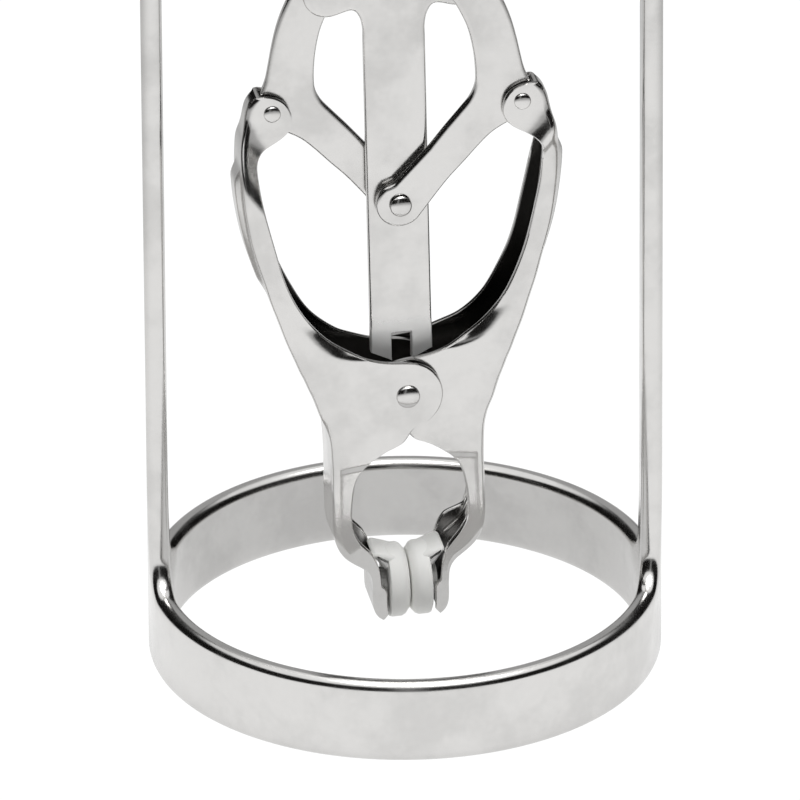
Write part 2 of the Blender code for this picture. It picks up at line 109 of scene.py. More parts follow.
def clamp_axes():
    """The clamp's right, depth and up directions and its middle rivet, read from the joints."""
    left = np.array(JOINTS["left_arm_turn"]["pos_m"])
    right = np.array(JOINTS["right_arm_turn"]["pos_m"])
    across = (right - left) / np.linalg.norm(right - left)
    depth = -np.array(JOINTS["bar_swing"]["axis"])
    depth = depth - across * (depth @ across)
    depth = depth / np.linalg.norm(depth)
    return across, depth, np.cross(across, depth), np.array(JOINTS["right_link_turn"]["pos_m"])


ACROSS, DEPTH, UP, MIDDLE = clamp_axes()


# Curves and surfaces


def in_clamp(points):
    """Clamp coordinates (u, v, height) in millimetres become places in millimetres in the row frame."""
    u, v, h = (points[..., i, None] for i in range(3))
    return MIDDLE / MM + u * ACROSS + v * DEPTH + (h - LINK_RIVET[1]) * UP


def on_pin(points):
    """Yoke coordinates: as the clamp's, but level and centred on the lifting screw."""
    side = np.array((DEPTH[1], -DEPTH[0], 0))
    u, v, h = (points[..., i, None] for i in range(3))
    return u * side + v * DEPTH + h * np.array((0, 0, 1.0))


def arc(middle, radius, start, end, count):
    """Points on a circle between two angles in degrees, both ends included."""
    angle = np.radians(np.linspace(start, end, count))
    return np.stack([middle[0] + radius * np.cos(angle), middle[1] + radius * np.sin(angle)], -1)


def spline(points, per_span):
    """Catmull-Rom rows: between two rows of numbers runs the cubic set by the four nearest rows."""
    p = np.asarray(points, float)
    ends = np.concatenate([2 * p[:1] - p[1:2], p, 2 * p[-1:] - p[-2:-1]])
    t = np.linspace(0, 1, per_span, endpoint=False)[None, :, None]
    a, b, c, d = (ends[i : len(ends) - 3 + i, None] for i in range(4))
    rows = b + 0.5 * ((c - a) * t + (2 * a - 5 * b + 4 * c - d) * t**2)
    rows = rows + 0.5 * (3 * b - a - 3 * c + d) * t**3
    return np.concatenate([rows.reshape(-1, p.shape[1]), p[-1:]])


def smoothed(rows, reach):
    """Each row becomes a Hann-weighted mean of its neighbours, and the two ends stay."""
    weight = np.hanning(2 * reach + 3)[1:-1]
    weight = weight / weight.sum()
    held = np.concatenate([2 * rows[:1] - rows[reach:0:-1], rows, 2 * rows[-1:] - rows[-2 : -reach - 2 : -1]])
    return np.stack([np.convolve(held[:, i], weight, "valid") for i in range(rows.shape[1])], -1)


def soften(corners, reach, steps=6, closed=True):
    """A polyline whose corners are short parabolas, each starting and ending `reach` from its corner."""
    p = np.asarray(corners, float)
    reach = np.broadcast_to(np.asarray(reach, float), len(p))[:, None]

    def towards(other):
        step = other - p
        length = np.maximum(np.linalg.norm(step, axis=1, keepdims=True), 1e-9)
        return p + step * np.minimum(reach / length, 0.48)

    a, c = towards(np.roll(p, 1, 0)), towards(np.roll(p, -1, 0))
    t = np.linspace(0, 1, steps)[None, :, None]
    curve = (1 - t) ** 2 * a[:, None] + 2 * t * (1 - t) * p[:, None] + t**2 * c[:, None]
    if closed:
        return curve.reshape(-1, p.shape[1])
    return np.concatenate([p[:1], curve[1:-1].reshape(-1, p.shape[1]), p[-1:]])


def even(points, step, closed=True):
    """The same line with points at equal steps along its length."""
    p = np.concatenate([points, points[:1]]) if closed else np.asarray(points, float)
    length = np.concatenate([[0], np.cumsum(np.linalg.norm(np.diff(p, axis=0), axis=1))])
    count = max(3, int(round(length[-1] / step)))
    at = np.linspace(0, length[-1], count + 1)
    line = np.stack([np.interp(at, length, p[:, i]) for i in range(p.shape[1])], -1)
    return line[:-1] if closed else line


def smoothstep(x):
    x = np.clip(x, 0, 1)
    return x * x * (3 - 2 * x)


def grid_faces(rows, columns, close_rows=False, close_columns=True):
    """Quads that join each point of a grid to the next along both parameters."""
    i = np.arange(rows if close_rows else rows - 1)
    j = np.arange(columns if close_columns else columns - 1)
    i, j = np.meshgrid(i, j, indexing="ij")
    down, along = (i + 1) % rows, (j + 1) % columns
    corners = [i * columns + j, i * columns + along, down * columns + along, down * columns + j]
    return np.stack(corners, -1)


def turned(profile, steps=64):
    """A profile of (radius, height) carried round Z: (r cos a, r sin a, h). Radius 0 closes as a pole."""
    angle = np.linspace(0, 2 * np.pi, steps, endpoint=False)
    r, h = np.asarray(profile, float)[:, :, None].transpose(1, 0, 2)
    return np.stack([r * np.cos(angle), r * np.sin(angle), h + 0 * angle], -1)


def swept(path, side, half_width, half_thick, edge, arc_steps=4):
    """A flat strap along a path in a plane. Each point carries a rounded rectangle: its width runs along
    the plane's normal `side`, and its thickness across the path. half_width may vary along the path."""
    ahead = np.gradient(path, axis=0)
    ahead = ahead / np.linalg.norm(ahead, axis=1, keepdims=True)
    through = np.cross(ahead, side)
    quarter = np.radians(np.linspace(0, 90, arc_steps + 1))
    cos, sin = edge * np.cos(quarter), edge * np.sin(quarter)
    half_width = np.broadcast_to(half_width, len(path))[:, None]
    w, t = half_width - edge, half_thick - edge
    across = [w + cos, -(w + 0 * cos) - sin, -w - cos, w + 0 * cos + sin]
    depth = [t + sin, t + cos, -t - sin, -t - cos]
    wide = np.concatenate([np.broadcast_to(x, (len(path), len(cos))) for x in across], 1)
    deep = np.concatenate(depth)
    place = path[:, None] + wide[..., None] * np.asarray(side, float)
    return place + deep[None, :, None] * through[:, None]


def plate(outline, half_thick, edge, arc_steps=4, wide=1.0):
    """A flat plate with rounded edges. Rows of its outline step inwards by edge (1 - cos a) and outwards
    through the thickness by edge sin a, with one more row on each flat face to keep it flat. `wide`
    stretches the edge's round inwards."""
    line = np.asarray(outline, float)
    ahead = np.roll(line, -1, 0) - np.roll(line, 1, 0)
    ahead = ahead / np.linalg.norm(ahead, axis=1, keepdims=True)
    area = np.sum(line[:, 0] * np.roll(line[:, 1], -1) - line[:, 1] * np.roll(line[:, 0], -1))
    inwards = np.stack([-ahead[:, 1], ahead[:, 0]], -1) * np.sign(area)
    quarter = np.radians(np.linspace(90, 0, arc_steps + 1))
    wide = np.broadcast_to(wide, len(line))
    inset = edge * (1 - np.cos(quarter))[:, None] * wide
    inset = np.concatenate([edge * wide[None] + SUPPORT, inset])
    depth = np.concatenate([[half_thick], half_thick - edge + edge * np.sin(quarter)])
    inset, depth = np.concatenate([inset, inset[::-1]]), np.concatenate([-depth, depth[::-1]])
    flat = line[None] + inset[..., None] * inwards[None]
    return np.stack([flat[..., 0], depth[:, None] + 0 * flat[..., 0], flat[..., 1]], -1)


def tube(path, radius, sides=12):
    """A round wire: each point of the path carries a circle across its direction, rounded at both ends."""
    ahead = np.gradient(path, axis=0)
    ahead = ahead / np.linalg.norm(ahead, axis=1, keepdims=True)
    normal = np.array((0, 1.0, 0)) - ahead * ahead[:, 1:2]
    normal = normal / np.linalg.norm(normal, axis=1, keepdims=True)
    other = np.cross(ahead, normal)
    angle = np.linspace(0, 2 * np.pi, sides, endpoint=False)
    size = np.full(len(path), radius)
    size[[0, -1]] = radius * 0.3
    circle = np.cos(angle)[None, :, None] * normal[:, None] + np.sin(angle)[None, :, None] * other[:, None]
    return path[:, None] + size[:, None, None] * circle


# Meshes


def shell(points, caps=True, close_rows=False, keep=None):
    """A grid of points as (points, faces). `caps` closes the first and last rows, and `keep` drops quads."""
    rows, columns = points.shape[:2]
    quads = grid_faces(rows, columns, close_rows)
    quads = quads.reshape(-1, 4) if keep is None else quads[keep]
    faces = quads.tolist()
    if caps:
        first = list(range(columns))
        faces += [first[::-1], [i + (rows - 1) * columns for i in first]]
    return points.reshape(-1, 3), faces


def joined(*shells):
    """Several (points, faces) as one."""
    places, faces, count = [], [], 0
    for points, found in shells:
        places.append(points)
        faces += [[i + count for i in face] for face in found]
        count += len(points)
    return np.concatenate(places), faces


def add_piece(name, body, shells, material, replaces=(), sharp=40.0, inside=None):
    """A finished piece at the origin, in the row frame, with closed seams and faces outwards. `inside`
    marks the points that lie inside a channel."""
    points, faces = joined(*shells)
    mesh = bpy.data.meshes.new(name)
    mesh.from_pydata((points * MM).tolist(), [], faces)
    if inside is not None:
        mesh.attributes.new("inside", "FLOAT", "POINT").data.foreach_set("value", inside)
    shape = bmesh.new()
    shape.from_mesh(mesh)
    bmesh.ops.remove_doubles(shape, verts=shape.verts, dist=MERGE)
    bmesh.ops.dissolve_degenerate(shape, edges=shape.edges, dist=MERGE / 10)
    bmesh.ops.recalc_face_normals(shape, faces=shape.faces)
    shape.to_mesh(mesh)
    shape.free()
    mesh.shade_smooth()
    mesh.set_sharp_from_angle(angle=math.radians(sharp))
    mesh.materials.append(material)
    piece = bpy.data.objects.new(name, mesh)
    bpy.context.scene.collection.objects.link(piece)
    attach(piece, body)
    if replaces:
        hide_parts(*replaces)
    return piece


# Materials


class Socket:
    """An output of a node tree. Arithmetic on it adds Math nodes."""

    def __init__(self, tree, output):
        self.tree = tree
        self.output = output

    def maths(self, operation, first, second):
        return add_node(self.tree, "ShaderNodeMath", {"operation": operation}, {0: first, 1: second})

    def __add__(self, other):
        return self.maths("ADD", self, other)

    def __sub__(self, other):
        return self.maths("SUBTRACT", self, other)

    def __rsub__(self, other):
        return self.maths("SUBTRACT", other, self)

    def __mul__(self, other):
        return self.maths("MULTIPLY", self, other)

    __radd__ = __add__
    __rmul__ = __mul__


def add_node(tree, kind, settings=None, inputs=None, output=0):
    """A node of that type. Its settings come first, then the values or links of its sockets."""
    node = tree.nodes.new(kind)
    for key, value in (settings or {}).items():
        if key == "stops":
            for i, (place, color) in enumerate(value):
                stop = node.color_ramp.elements[i] if i < 2 else node.color_ramp.elements.new(place)
                stop.position = place
                stop.color = color
        else:
            setattr(node, key, value)
    for key, value in (inputs or {}).items():
        if isinstance(value, Socket):
            tree.links.new(value.output, node.inputs[key])
        else:
            node.inputs[key].default_value = value
    return Socket(tree, node.outputs[output])


def between(low, high, value, start, end):
    """Map Range's arguments for a smooth change from start to end as value goes from low to high."""
    return {"Value": value, "From Min": low, "From Max": high, "To Min": start, "To Max": end}


def new_material(name, constants):
    """A material with a Principled shader whose named sockets hold constants."""
    made = bpy.data.materials.new(name)
    made.use_nodes = True
    shader = made.node_tree.nodes["Principled BSDF"]
    for key, value in constants.items():
        shader.inputs[key].default_value = value
    return made, made.node_tree, shader


def noise(tree, place, scale, detail=3.0, roughness=0.55):
    return add_node(
        tree,
        "ShaderNodeTexNoise",
        {"noise_dimensions": "3D"},
        {"Vector": place, "Scale": scale, "Detail": detail, "Roughness": roughness},
    )


def stretched(tree, place, scale):
    """Object coordinates stretched along some axes, for a grain that runs one way."""
    return add_node(tree, "ShaderNodeMapping", {"vector_type": "POINT"}, {"Vector": place, "Scale": scale})


def colour_mix(tree, factor, first, second):
    settings = {"data_type": "RGBA", "blend_type": "MIX"}
    return add_node(tree, "ShaderNodeMix", settings, {0: factor, 6: first, 7: second}, 2)


def polished_steel(name, finish, grain, painted_channel_shade=False, foot_painted_reflection=False):
    """Mirror-polished stainless steel: a faint polishing grain, soft smears and a slight waviness. A
    channel's inside, marked by the inside attribute, is left dark and dull from the press, and the pull
    bar's foot is scuffed to a pale satin."""
    color = (*finish.steel_color, 1)
    made, tree, shader = new_material(name, {"Metallic": 1.0})
    place = add_node(tree, "ShaderNodeTexCoord", None, None, "Object")
    smear = noise(tree, place, 110.0, 4.0, 0.6)
    lines = noise(tree, stretched(tree, place, grain), 1.0, 2.0, 0.5)
    fine = noise(tree, place, 1400.0, 2.0, 0.5)
    smear = add_node(tree, "ShaderNodeMapRange", {"interpolation_type": "SMOOTHSTEP"},
                     between(0.40, 0.66, smear, 0.0, 1.0))
    dull = finish.roughness + smear * finish.smear + lines * 0.035 + fine * 0.02
    darker = tuple(0.84 * c for c in finish.steel_color) + (1,)
    shade = colour_mix(tree, smear * 0.6 + fine * 0.25, color, darker)
    if painted_channel_shade:
        # Painted shade: the channel's inside takes the near-black shade colour.
        inside = add_node(tree, "ShaderNodeAttribute", {"attribute_name": "inside"}, None, "Fac")
        shade = colour_mix(tree, inside, shade, (*finish.channel_shade_color, 1))
        dull = dull + inside * 0.25
    if foot_painted_reflection:
        # Painted reflection: below these heights the foot is paler and less metallic, standing in for the
        # floor it would mirror.
        level = add_node(tree, "ShaderNodeSeparateXYZ", None, {0: place}, "Z")
        foot_reflection_share = add_node(tree, "ShaderNodeMapRange", {"interpolation_type": "SMOOTHSTEP"},
                           between(*FOOT_REFLECTION_HEIGHTS, level, 1.0, 0.0))
        shade = colour_mix(tree, foot_reflection_share, shade, FOOT_REFLECTION_COLOR)
        dull = dull + foot_reflection_share * 0.25
        tree.links.new((1.0 - foot_reflection_share * 0.75).output, shader.inputs["Metallic"])
    tree.links.new(dull.output, shader.inputs["Roughness"])
    tree.links.new(shade.output, shader.inputs["Base Color"])
    wave = noise(tree, place, 130.0, 1.5, 0.4)
    height = wave * 0.75 + lines * 0.18 + fine * 0.03
    bump = add_node(tree, "ShaderNodeBump", None,
                    {"Height": height, "Distance": 0.00006, "Strength": finish.waviness}, "Normal")
    tree.links.new(bump.output, shader.inputs["Normal"])
    return made


def white_rubber(name, finish):
    """Satin white rubber, a little translucent, with the fine mottle of a moulded skin."""
    color = (*finish.rubber_color, 1)
    made, tree, shader = new_material(
        name, {"Subsurface Weight": 0.35, "Subsurface Scale": 0.0012, "IOR": 1.5, "Metallic": 0.0}
    )
    place = add_node(tree, "ShaderNodeTexCoord", None, None, "Object")
    mottle = noise(tree, place, 900.0, 4.0, 0.6)
    cloud = noise(tree, place, 160.0, 2.0, 0.5)
    dusty = tuple(0.93 * c for c in finish.rubber_color) + (1,)
    shade = colour_mix(tree, cloud * 0.7 + mottle * 0.2, color, dusty)
    tree.links.new(shade.output, shader.inputs["Base Color"])
    tree.links.new((0.36 + cloud * 0.15 + mottle * 0.08).output, shader.inputs["Roughness"])
    bump = add_node(tree, "ShaderNodeBump", None,
                    {"Height": mottle, "Distance": 0.00005, "Strength": 0.5}, "Normal")
    tree.links.new(bump.output, shader.inputs["Normal"])
    return made


def finish_material(kind):
    """One of the object's finishes, made once."""
    finish = bpy.context.scene.clamp_finish
    made = bpy.data.materials.get(kind)
    if made:
        return made
    if kind == "white_rubber":
        return white_rubber(kind, finish)
    grain = {
        "steel_turned": (160.0, 160.0, 5200.0),
        "steel_upright": (5200.0, 5200.0, 160.0),
        "steel_sheet": (900.0, 900.0, 2600.0),
        "steel_channel": (900.0, 900.0, 2600.0),
        "steel_bar": (900.0, 900.0, 2600.0),
    }[kind]
    return polished_steel(kind, finish, grain, kind == "steel_channel", kind == "steel_bar")


# Frame of ring, posts and bridge


def sheet_edge(count):
    """Angles round a half-round edge, from the outer face over to the inner one."""
    return np.radians(np.linspace(0, 180, count))


def fuller(share):
    """Draws a half round's sine or cosine out towards a rounded square's."""
    return np.sign(share) * np.abs(share) ** EDGE_FULLNESS


def foot_columns(reach):
    return np.linspace(-reach, reach, 25)


def ring_grid(sizes, mid, half, height, reach):
    """The ring as columns round its circle, each a slot-shaped section: straight faces between two half
    rounds. Also says which quads stay: the top edge is left out where a post grows from it."""
    feet = foot_columns(reach) / mid
    open_arc = np.linspace(feet[-1], np.pi - feet[-1], 82)[1:-1]
    angle = np.concatenate([feet, open_arc, feet + np.pi, open_arc + np.pi])
    top = sheet_edge(sizes.edge_steps)
    face = np.linspace(height - half, half, 5)[1:-1]
    across, rise = half * fuller(np.cos(top)), half * fuller(np.sin(top))
    n = np.concatenate([across, -half + 0 * face, -across, half + 0 * face])
    z = np.concatenate([height - half + rise, face, half - rise, face[::-1]])
    radius = mid + n
    points = np.stack([
        np.cos(angle)[:, None] * radius,
        np.sin(angle)[:, None] * radius,
        z[None] + 0 * angle[:, None],
    ], -1)
    column, part = np.meshgrid(np.arange(len(angle)), np.arange(len(n)), indexing="ij")
    width = len(feet)
    second = width + len(open_arc)
    on_foot = (column < width - 1) | ((column >= second) & (column < second + width - 1))
    return points, ~(on_foot & (part < sizes.edge_steps - 1))


def post_rows(sizes, mid, half, height):
    """The bar's rows up one post: its inset half width, level, edge direction and how flat it has become.
    The foot's edge is a quarter circle that leaves the ring's top edge and runs up into the post's."""
    turn = np.radians(np.linspace(0, 90, 15))
    fillet = sizes.foot_fillet + half
    straight = sizes.bar_width / 2 - half
    reach = straight + fillet
    width = np.concatenate([reach - fillet * np.sin(turn), np.full(12, straight)])
    start = height - half + fillet
    level = np.concatenate([start - fillet * np.cos(turn), start + np.linspace(0, 1, 13)[1:] ** 1.5 * 9])
    edge = np.concatenate([np.stack([np.sin(turn), np.cos(turn)], -1), np.tile([1.0, 0.0], (12, 1))])
    flat = smoothstep((level - level[0]) / (level[-1] - level[0]) * 1.05)
    return width, level, edge, flat, reach


def bar_grid(sizes, mid, half, height, top):
    """The two posts and the bridge as one flat bar. Every row is a slot-shaped loop: an outer line, a half
    round that leans with the foot's edge, an inner line and a half round back."""
    width, level, edge, flat, reach = post_rows(sizes, mid, half, height)
    share = foot_columns(1.0)
    turn = sheet_edge(sizes.edge_steps)[1:-1]
    out = half * fuller(np.sin(turn))
    ones = np.ones_like(share)
    a = np.concatenate([
        width[:, None] * share,
        width[:, None] + edge[:, :1] * out,
        -width[:, None] * share,
        -width[:, None] - edge[:, :1] * out[::-1],
    ], 1)
    z = level[:, None] + np.concatenate([0 * ones * edge[:, 1:], edge[:, 1:] * out,
                                         0 * ones * edge[:, 1:], edge[:, 1:] * out[::-1]], 1)
    across = half * fuller(np.cos(turn))
    n = np.concatenate([half * ones, across, -half * ones, -across])
    round_x, round_y = (mid + n) * np.cos(a / mid), (mid + n) * np.sin(a / mid)
    x = round_x + (mid + n - round_x) * flat[:, None]
    y = round_y + (a - round_y) * flat[:, None]
    foot = np.stack([x, y, z], -1)
    bend = sizes.bridge_bend
    lift = np.linspace(level[-1], top - half - bend, 10)[1:]
    corner = np.radians(np.linspace(0, 90, 17))[1:]
    along = np.linspace(mid - bend, 0, 8)[1:-1]
    px = np.concatenate([mid + 0 * lift, mid - bend + bend * np.cos(corner), along])
    pz = np.concatenate([lift, top - half - bend + bend * np.sin(corner), top - half + 0 * along])
    lean = np.concatenate([0 * lift, corner, np.pi / 2 + 0 * along])[:, None]
    loop_y = np.broadcast_to(a[-1], (len(px), a.shape[1]))
    arch = np.stack([px[:, None] + n * np.cos(lean), loop_y, pz[:, None] + n * np.sin(lean)], -1)
    right = np.concatenate([foot, arch])
    left = right[::-1] * np.array((-1.0, 1.0, 1.0))
    return np.concatenate([right, left]), reach


def build_frame(sizes):
    low, high = corners_mm("base_ring")
    top = corners_mm("top_bridge")[1][2]
    half = sizes.wall / 2
    mid = high[0] - half
    height = high[2] - low[2]
    bar, reach = bar_grid(sizes, mid, half, height, top)
    ring, keep = ring_grid(sizes, mid, half, height, reach)
    shells = [
        shell(ring, caps=False, close_rows=True, keep=keep),
        shell(bar, caps=False),
    ]
    nodes = ("base_ring", "left_post", "right_post", "top_bridge")
    piece = add_piece("welded_frame", "frame", shells, finish_material("steel_turned"),
                      nodes, 60)
    hole, above, below = sizes.bridge_hole, top + 2, top - 6
    cut_round(piece, turned([(0, above), (hole, above), (hole, below), (0, below)], 64))


# Lifting screw, nut, washer and yoke


def build_washer():
    low, high = corners_mm("thrust_washer")
    outer, inner, edge = high[0], 2.85, 0.2
    corners = [(inner, high[2]), (outer, high[2]), (outer, low[2]), (inner, low[2])]
    profile = soften(corners, edge, 5)
    points = turned(np.concatenate([profile, profile[:1]]), 72)
    add_piece("lift_washer", "frame", [shell(points, caps=False)], finish_material("steel_turned"),
              ("thrust_washer",))


def build_nut(sizes):
    """The nut's side is a knurl: two families of slanting grooves, each a triangle wave of the angle plus
    or minus the height, and the lower of the two crests stands."""
    low, high = corners_mm("thumb_nut")
    outer, bore, rim_height, slope = high[0], 2.75, 0.75, 7
    side = np.linspace(low[2] + rim_height, high[2] - rim_height, 45)
    angle = np.linspace(0, 2 * np.pi, 360, endpoint=False)
    count = sizes.knurl_count
    rise = (side[:, None] - side[0]) / (side[-1] - side[0]) * slope

    def wave(x):
        return np.abs((x % 1.0) - 0.5) * 2

    crest = np.minimum(wave(count * angle / (2 * np.pi) + rise), wave(count * angle / (2 * np.pi) - rise))
    fade = smoothstep(np.minimum(side - side[0], side[-1] - side) / 0.5)[:, None]
    radius = outer - sizes.knurl_depth * (1 - np.minimum(1, crest * 1.6) * fade)

    def ring(r, z):
        return np.stack([r * np.cos(angle), r * np.sin(angle), z + 0 * angle], -1)

    body = outer - sizes.knurl_depth
    rim = [(bore + 0.02, 0.35), (bore + 0.35, 0), (bore + 1.2, 0), (4.6, 0), (4.8, 0.12), (5.3, 0.12),
           (5.5, 0), (body - 0.7, 0), (body - 0.6, 0.02), (body - 0.1, 0.45), (body, 0.6)]
    top = np.array([ring(r, high[2] - z) for r, z in rim])
    bottom = np.array([ring(r, low[2] + z) for r, z in reversed(rim)])
    knurl = np.stack([radius * np.cos(angle), radius * np.sin(angle), side[:, None] + 0 * radius], -1)
    points = np.concatenate([top, knurl[::-1], bottom, top[:1]])
    add_piece("knurled_nut", "nut", [shell(points, caps=False)], finish_material("steel_turned"),
              ("thumb_nut",), 30)


def build_screw(sizes):
    """The rod's radius is its outer one less a thread: a rounded triangle wave of height over pitch minus
    the turn, which fades out at both ends of the thread."""
    low, high = corners_mm("draw_screw")
    outer, pitch = 2.5, sizes.thread_pitch
    shoulder = low[2] + 4.0
    angle = np.linspace(0, 2 * np.pi, 56, endpoint=False)
    rows = np.linspace(shoulder + 1.0, high[2] - 0.6, int((high[2] - shoulder) / pitch * 9))
    phase = (rows[:, None] / pitch - angle / (2 * np.pi)) % 1.0
    groove = smoothstep(1 - np.abs(phase * 2 - 1) * 1.15)
    fade = smoothstep(np.minimum(rows - rows[0] - 0.3, rows[-1] - rows) / 0.7)[:, None]
    radius = outer - 0.02 - sizes.thread_depth * groove * fade
    thread = np.stack([radius * np.cos(angle), radius * np.sin(angle), rows[:, None] + 0 * radius], -1)
    end, foot = high[2], low[2]
    tip = turned([(0, end), (1.2, end), (1.85, end), (2.0, end - 0.06), (2.42, end - 0.48)], 56)
    neck = [(2.46, shoulder + 0.5), (2.4, shoulder + 0.3), (2.1, shoulder), (1.5, shoulder),
            (1.5, foot + 1.8), (2.3, foot + 1.8), (2.52, foot + 1.65), (2.6, foot + 1.4), (2.6, foot + 0.7),
            (2.4, foot + 0.25), (1.8, foot), (0, foot)]
    points = np.concatenate([tip, thread[::-1], turned(neck, 56)])
    add_piece("threaded_rod", "screw", [shell(points, caps=False)], finish_material("steel_turned"),
              ("draw_screw",), 35)


def turned_along_depth(profile, centre, steps=48):
    """A turned profile of (radius, depth) laid along v round a centre (u, height)."""
    x, y, z = np.moveaxis(turned(profile, steps), -1, 0)
    return np.stack([x + centre[0], z, y + centre[1]], -1)


def rivet_profile(near, far, shaft, head, dome):
    """A rivet between two faces: a shaft with a low dome on each face, in (radius, depth)."""
    angle = np.radians(np.linspace(0, 90, 12))
    rise = 0.12 + dome * np.cos(angle)
    over = np.stack([head * np.sin(angle), far + rise], -1)
    under = np.stack([head * np.sin(angle), near - rise], -1)[::-1]
    under_head, overlap = head * 0.97, 0.01
    shank = np.array([(under_head, far + overlap), (shaft, far + overlap),
                      (shaft, near - overlap), (under_head, near - overlap)])
    return np.concatenate([over, shank, under])


def build_yoke(sizes):
    """The stirrup is a strap carried up one leg, over the top and down the other, with round leg ends."""
    half, top, sheet = sizes.yoke_half, sizes.yoke_top, sizes.yoke_sheet
    low = 89.0
    line = [(half - sheet / 2, low), (half - sheet / 2, top - sheet / 2),
            (sheet / 2 - half, top - sheet / 2), (sheet / 2 - half, low)]
    path = even(soften(line, 1.7, 12, closed=False), 0.25, closed=False)
    path = np.stack([0 * path[:, 0], path[:, 0], path[:, 1]], -1)
    reach = sizes.yoke_width / 2
    above = np.clip(path[:, 2] - low, 0, reach)
    width = np.maximum(np.sqrt(reach**2 - (reach - above) ** 2), 0.5)
    points = swept(path, (1.0, 0, 0), width, sheet / 2, 0.25)
    steel = finish_material("steel_sheet")
    add_piece("yoke_strap", "yoke", [shell(on_pin(points))], steel, ("swivel_yoke",))
    pin = turned_along_depth(rivet_profile(-half - 0.1, half + 0.1, 1.1, 1.85, 0.6), (0, PIN_HEIGHT))
    add_piece("yoke_bolt", "yoke", [shell(on_pin(pin), caps=False)], steel, ("yoke_pin",))
    for word, sign in (("front", -1), ("rear", 1)):
        near, far = 0.9, half - sheet - 0.25
        ring = soften([(1.4, near), (3.2, near), (3.2, far), (1.4, far)], 0.2, 5)
        ring[:, 1] *= sign
        points = turned_along_depth(np.concatenate([ring, ring[:1]]), (0, PIN_HEIGHT))
        add_piece(word + "_sleeve", "yoke", [shell(on_pin(points), caps=False)], steel,
                  (word + "_spacer",))


# Pull bar and links


def bar_outline(sizes):
    """The bar's outline: a notched, pointed foot, straight sides, two side lobes and the hanging eye."""
    half = sizes.bar_half
    foot = [(1.12, 39.7), (1.12, 36.25), (half, 37.45)]
    neck = [(half, 77.5), (half + 0.35, 79.0), (half + 1.2, 79.9)]
    lobe = arc((7.4, 82.1), 2.75, -105, 62, 18)
    waist = [(7.3, 85.0), (6.1, 85.9), (5.1, 87.3)]
    eye = arc(EYE, 4.5, -32, 90, 22)
    neck = spline([(half, 76.0), *neck, lobe[0]], 5)[1:-1]
    waist = spline([lobe[-1], *waist, eye[0]], 5)[1:-1]
    right = np.concatenate([foot, neck, lobe, waist, eye])
    left = right[::-1] * np.array((-1.0, 1.0))
    return even_keeping(np.concatenate([right, left[1:]]), 0.45)


def even_keeping(corners, step):
    """The same closed outline with points added so that no stretch is longer than step."""
    after = np.roll(corners, -1, 0)
    count = np.maximum(1, np.ceil(np.linalg.norm(after - corners, axis=1) / step).astype(int))
    share = np.concatenate([np.arange(n) / n for n in count])[:, None]
    return np.repeat(corners, count, 0) * (1 - share) + np.repeat(after, count, 0) * share


def build_bar(sizes):
    """The flat bar, with its hanging eye cut by an exact Boolean. Its edges are crisp at the foot and
    rounder above it."""
    half_thick = sizes.bar_thick / 2
    outline = bar_outline(sizes)
    steel = finish_material("steel_bar")
    crisp_foot = 0.35 + 1.05 * smoothstep((outline[:, 1] - 40.2) / 1.5)
    bar = plate(outline, half_thick, 0.4, 7, crisp_foot)
    piece = add_piece("pull_plate", "bar", [shell(in_clamp(bar))], steel,
                      ("pull_bar",))
    bore = turned_along_depth([(0, 6), (EYE_RADIUS, 6), (EYE_RADIUS, -6), (0, -6)], EYE, 64)
    cut_round(piece, in_clamp(bore))
    rivet = turned_along_depth(rivet_profile(-2.2, 2.2, 0.85, sizes.rivet_head, 0.5), LINK_RIVET)
    add_piece("middle_rivet", "bar", [shell(in_clamp(rivet), caps=False)], steel,
              ("centre_rivet",))


def cut_round(piece, cylinder):
    """Cuts a round hole through a finished piece and keeps the result as its mesh."""
    points, faces = shell(cylinder, caps=False)
    mesh = bpy.data.meshes.new("cutter")
    mesh.from_pydata((points * MM).tolist(), [], faces)
    shape = bmesh.new()
    shape.from_mesh(mesh)
    bmesh.ops.remove_doubles(shape, verts=shape.verts, dist=MERGE)
    bmesh.ops.recalc_face_normals(shape, faces=shape.faces)
    shape.to_mesh(mesh)
    shape.free()
    cutter = bpy.data.objects.new("cutter", mesh)
    bpy.context.scene.collection.objects.link(cutter)
    cut = piece.modifiers.new("Eye", "BOOLEAN")
    cut.object = cutter
    cut.operation = "DIFFERENCE"
    bpy.context.view_layer.update()
    seen = piece.evaluated_get(bpy.context.evaluated_depsgraph_get())
    result = bpy.data.meshes.new_from_object(seen)
    piece.modifiers.clear()
    result.name = piece.data.name
    piece.data = result
    result.set_sharp_from_angle(angle=math.radians(40))
    bpy.data.objects.remove(cutter)


def link_outline():
    """A right-hand link: an eye on the bar's rivet, a straight arm to the eye of the arm's rivet, and the
    finger loop that rises from it and curls in towards the bar."""
    eye = arc(LINK_RIVET, 2.72, 128, 318, 30)
    under = [(5.2, 58.45), (7.4, 60.8), (9.2, 62.75)]
    lobe = arc(ARM_RIVET, 1.95, -70, 48, 14)
    under = spline([eye[-1], *under, (10.6, 64.05), (12.2, 65.0), lobe[0]], 4)[1:-1]
    outside = [(14.4, 71.5), (13.98, 73.4), (13.55, 75.6), (12.95, 78.0), (12.1, 80.3), (10.9, 82.6)]
    outside += [(9.2, 84.7), (7.6, 85.6)]
    outside = spline([lobe[-1], *outside], 5)[1:-1]
    tip = arc((6.5, 83.6), 2.25, 68, 215, 18)
    inside = [(5.6, 81.55), (6.6, 80.4), (7.45, 78.7), (8.1, 77.0), (8.55, 75.0), (8.8, 73.1), (8.88, 71.2)]
    inside += [(8.75, 69.9), (8.1, 68.5), (6.9, 67.05), (5.2, 65.1)]
    inside = spline([tip[-1], *inside, (3.4, 62.9)], 4)[1:-1]
    back = [(3.4, 62.9), (-0.6, 58.75)]
    return np.concatenate([eye, under, lobe, outside, tip, inside, back])


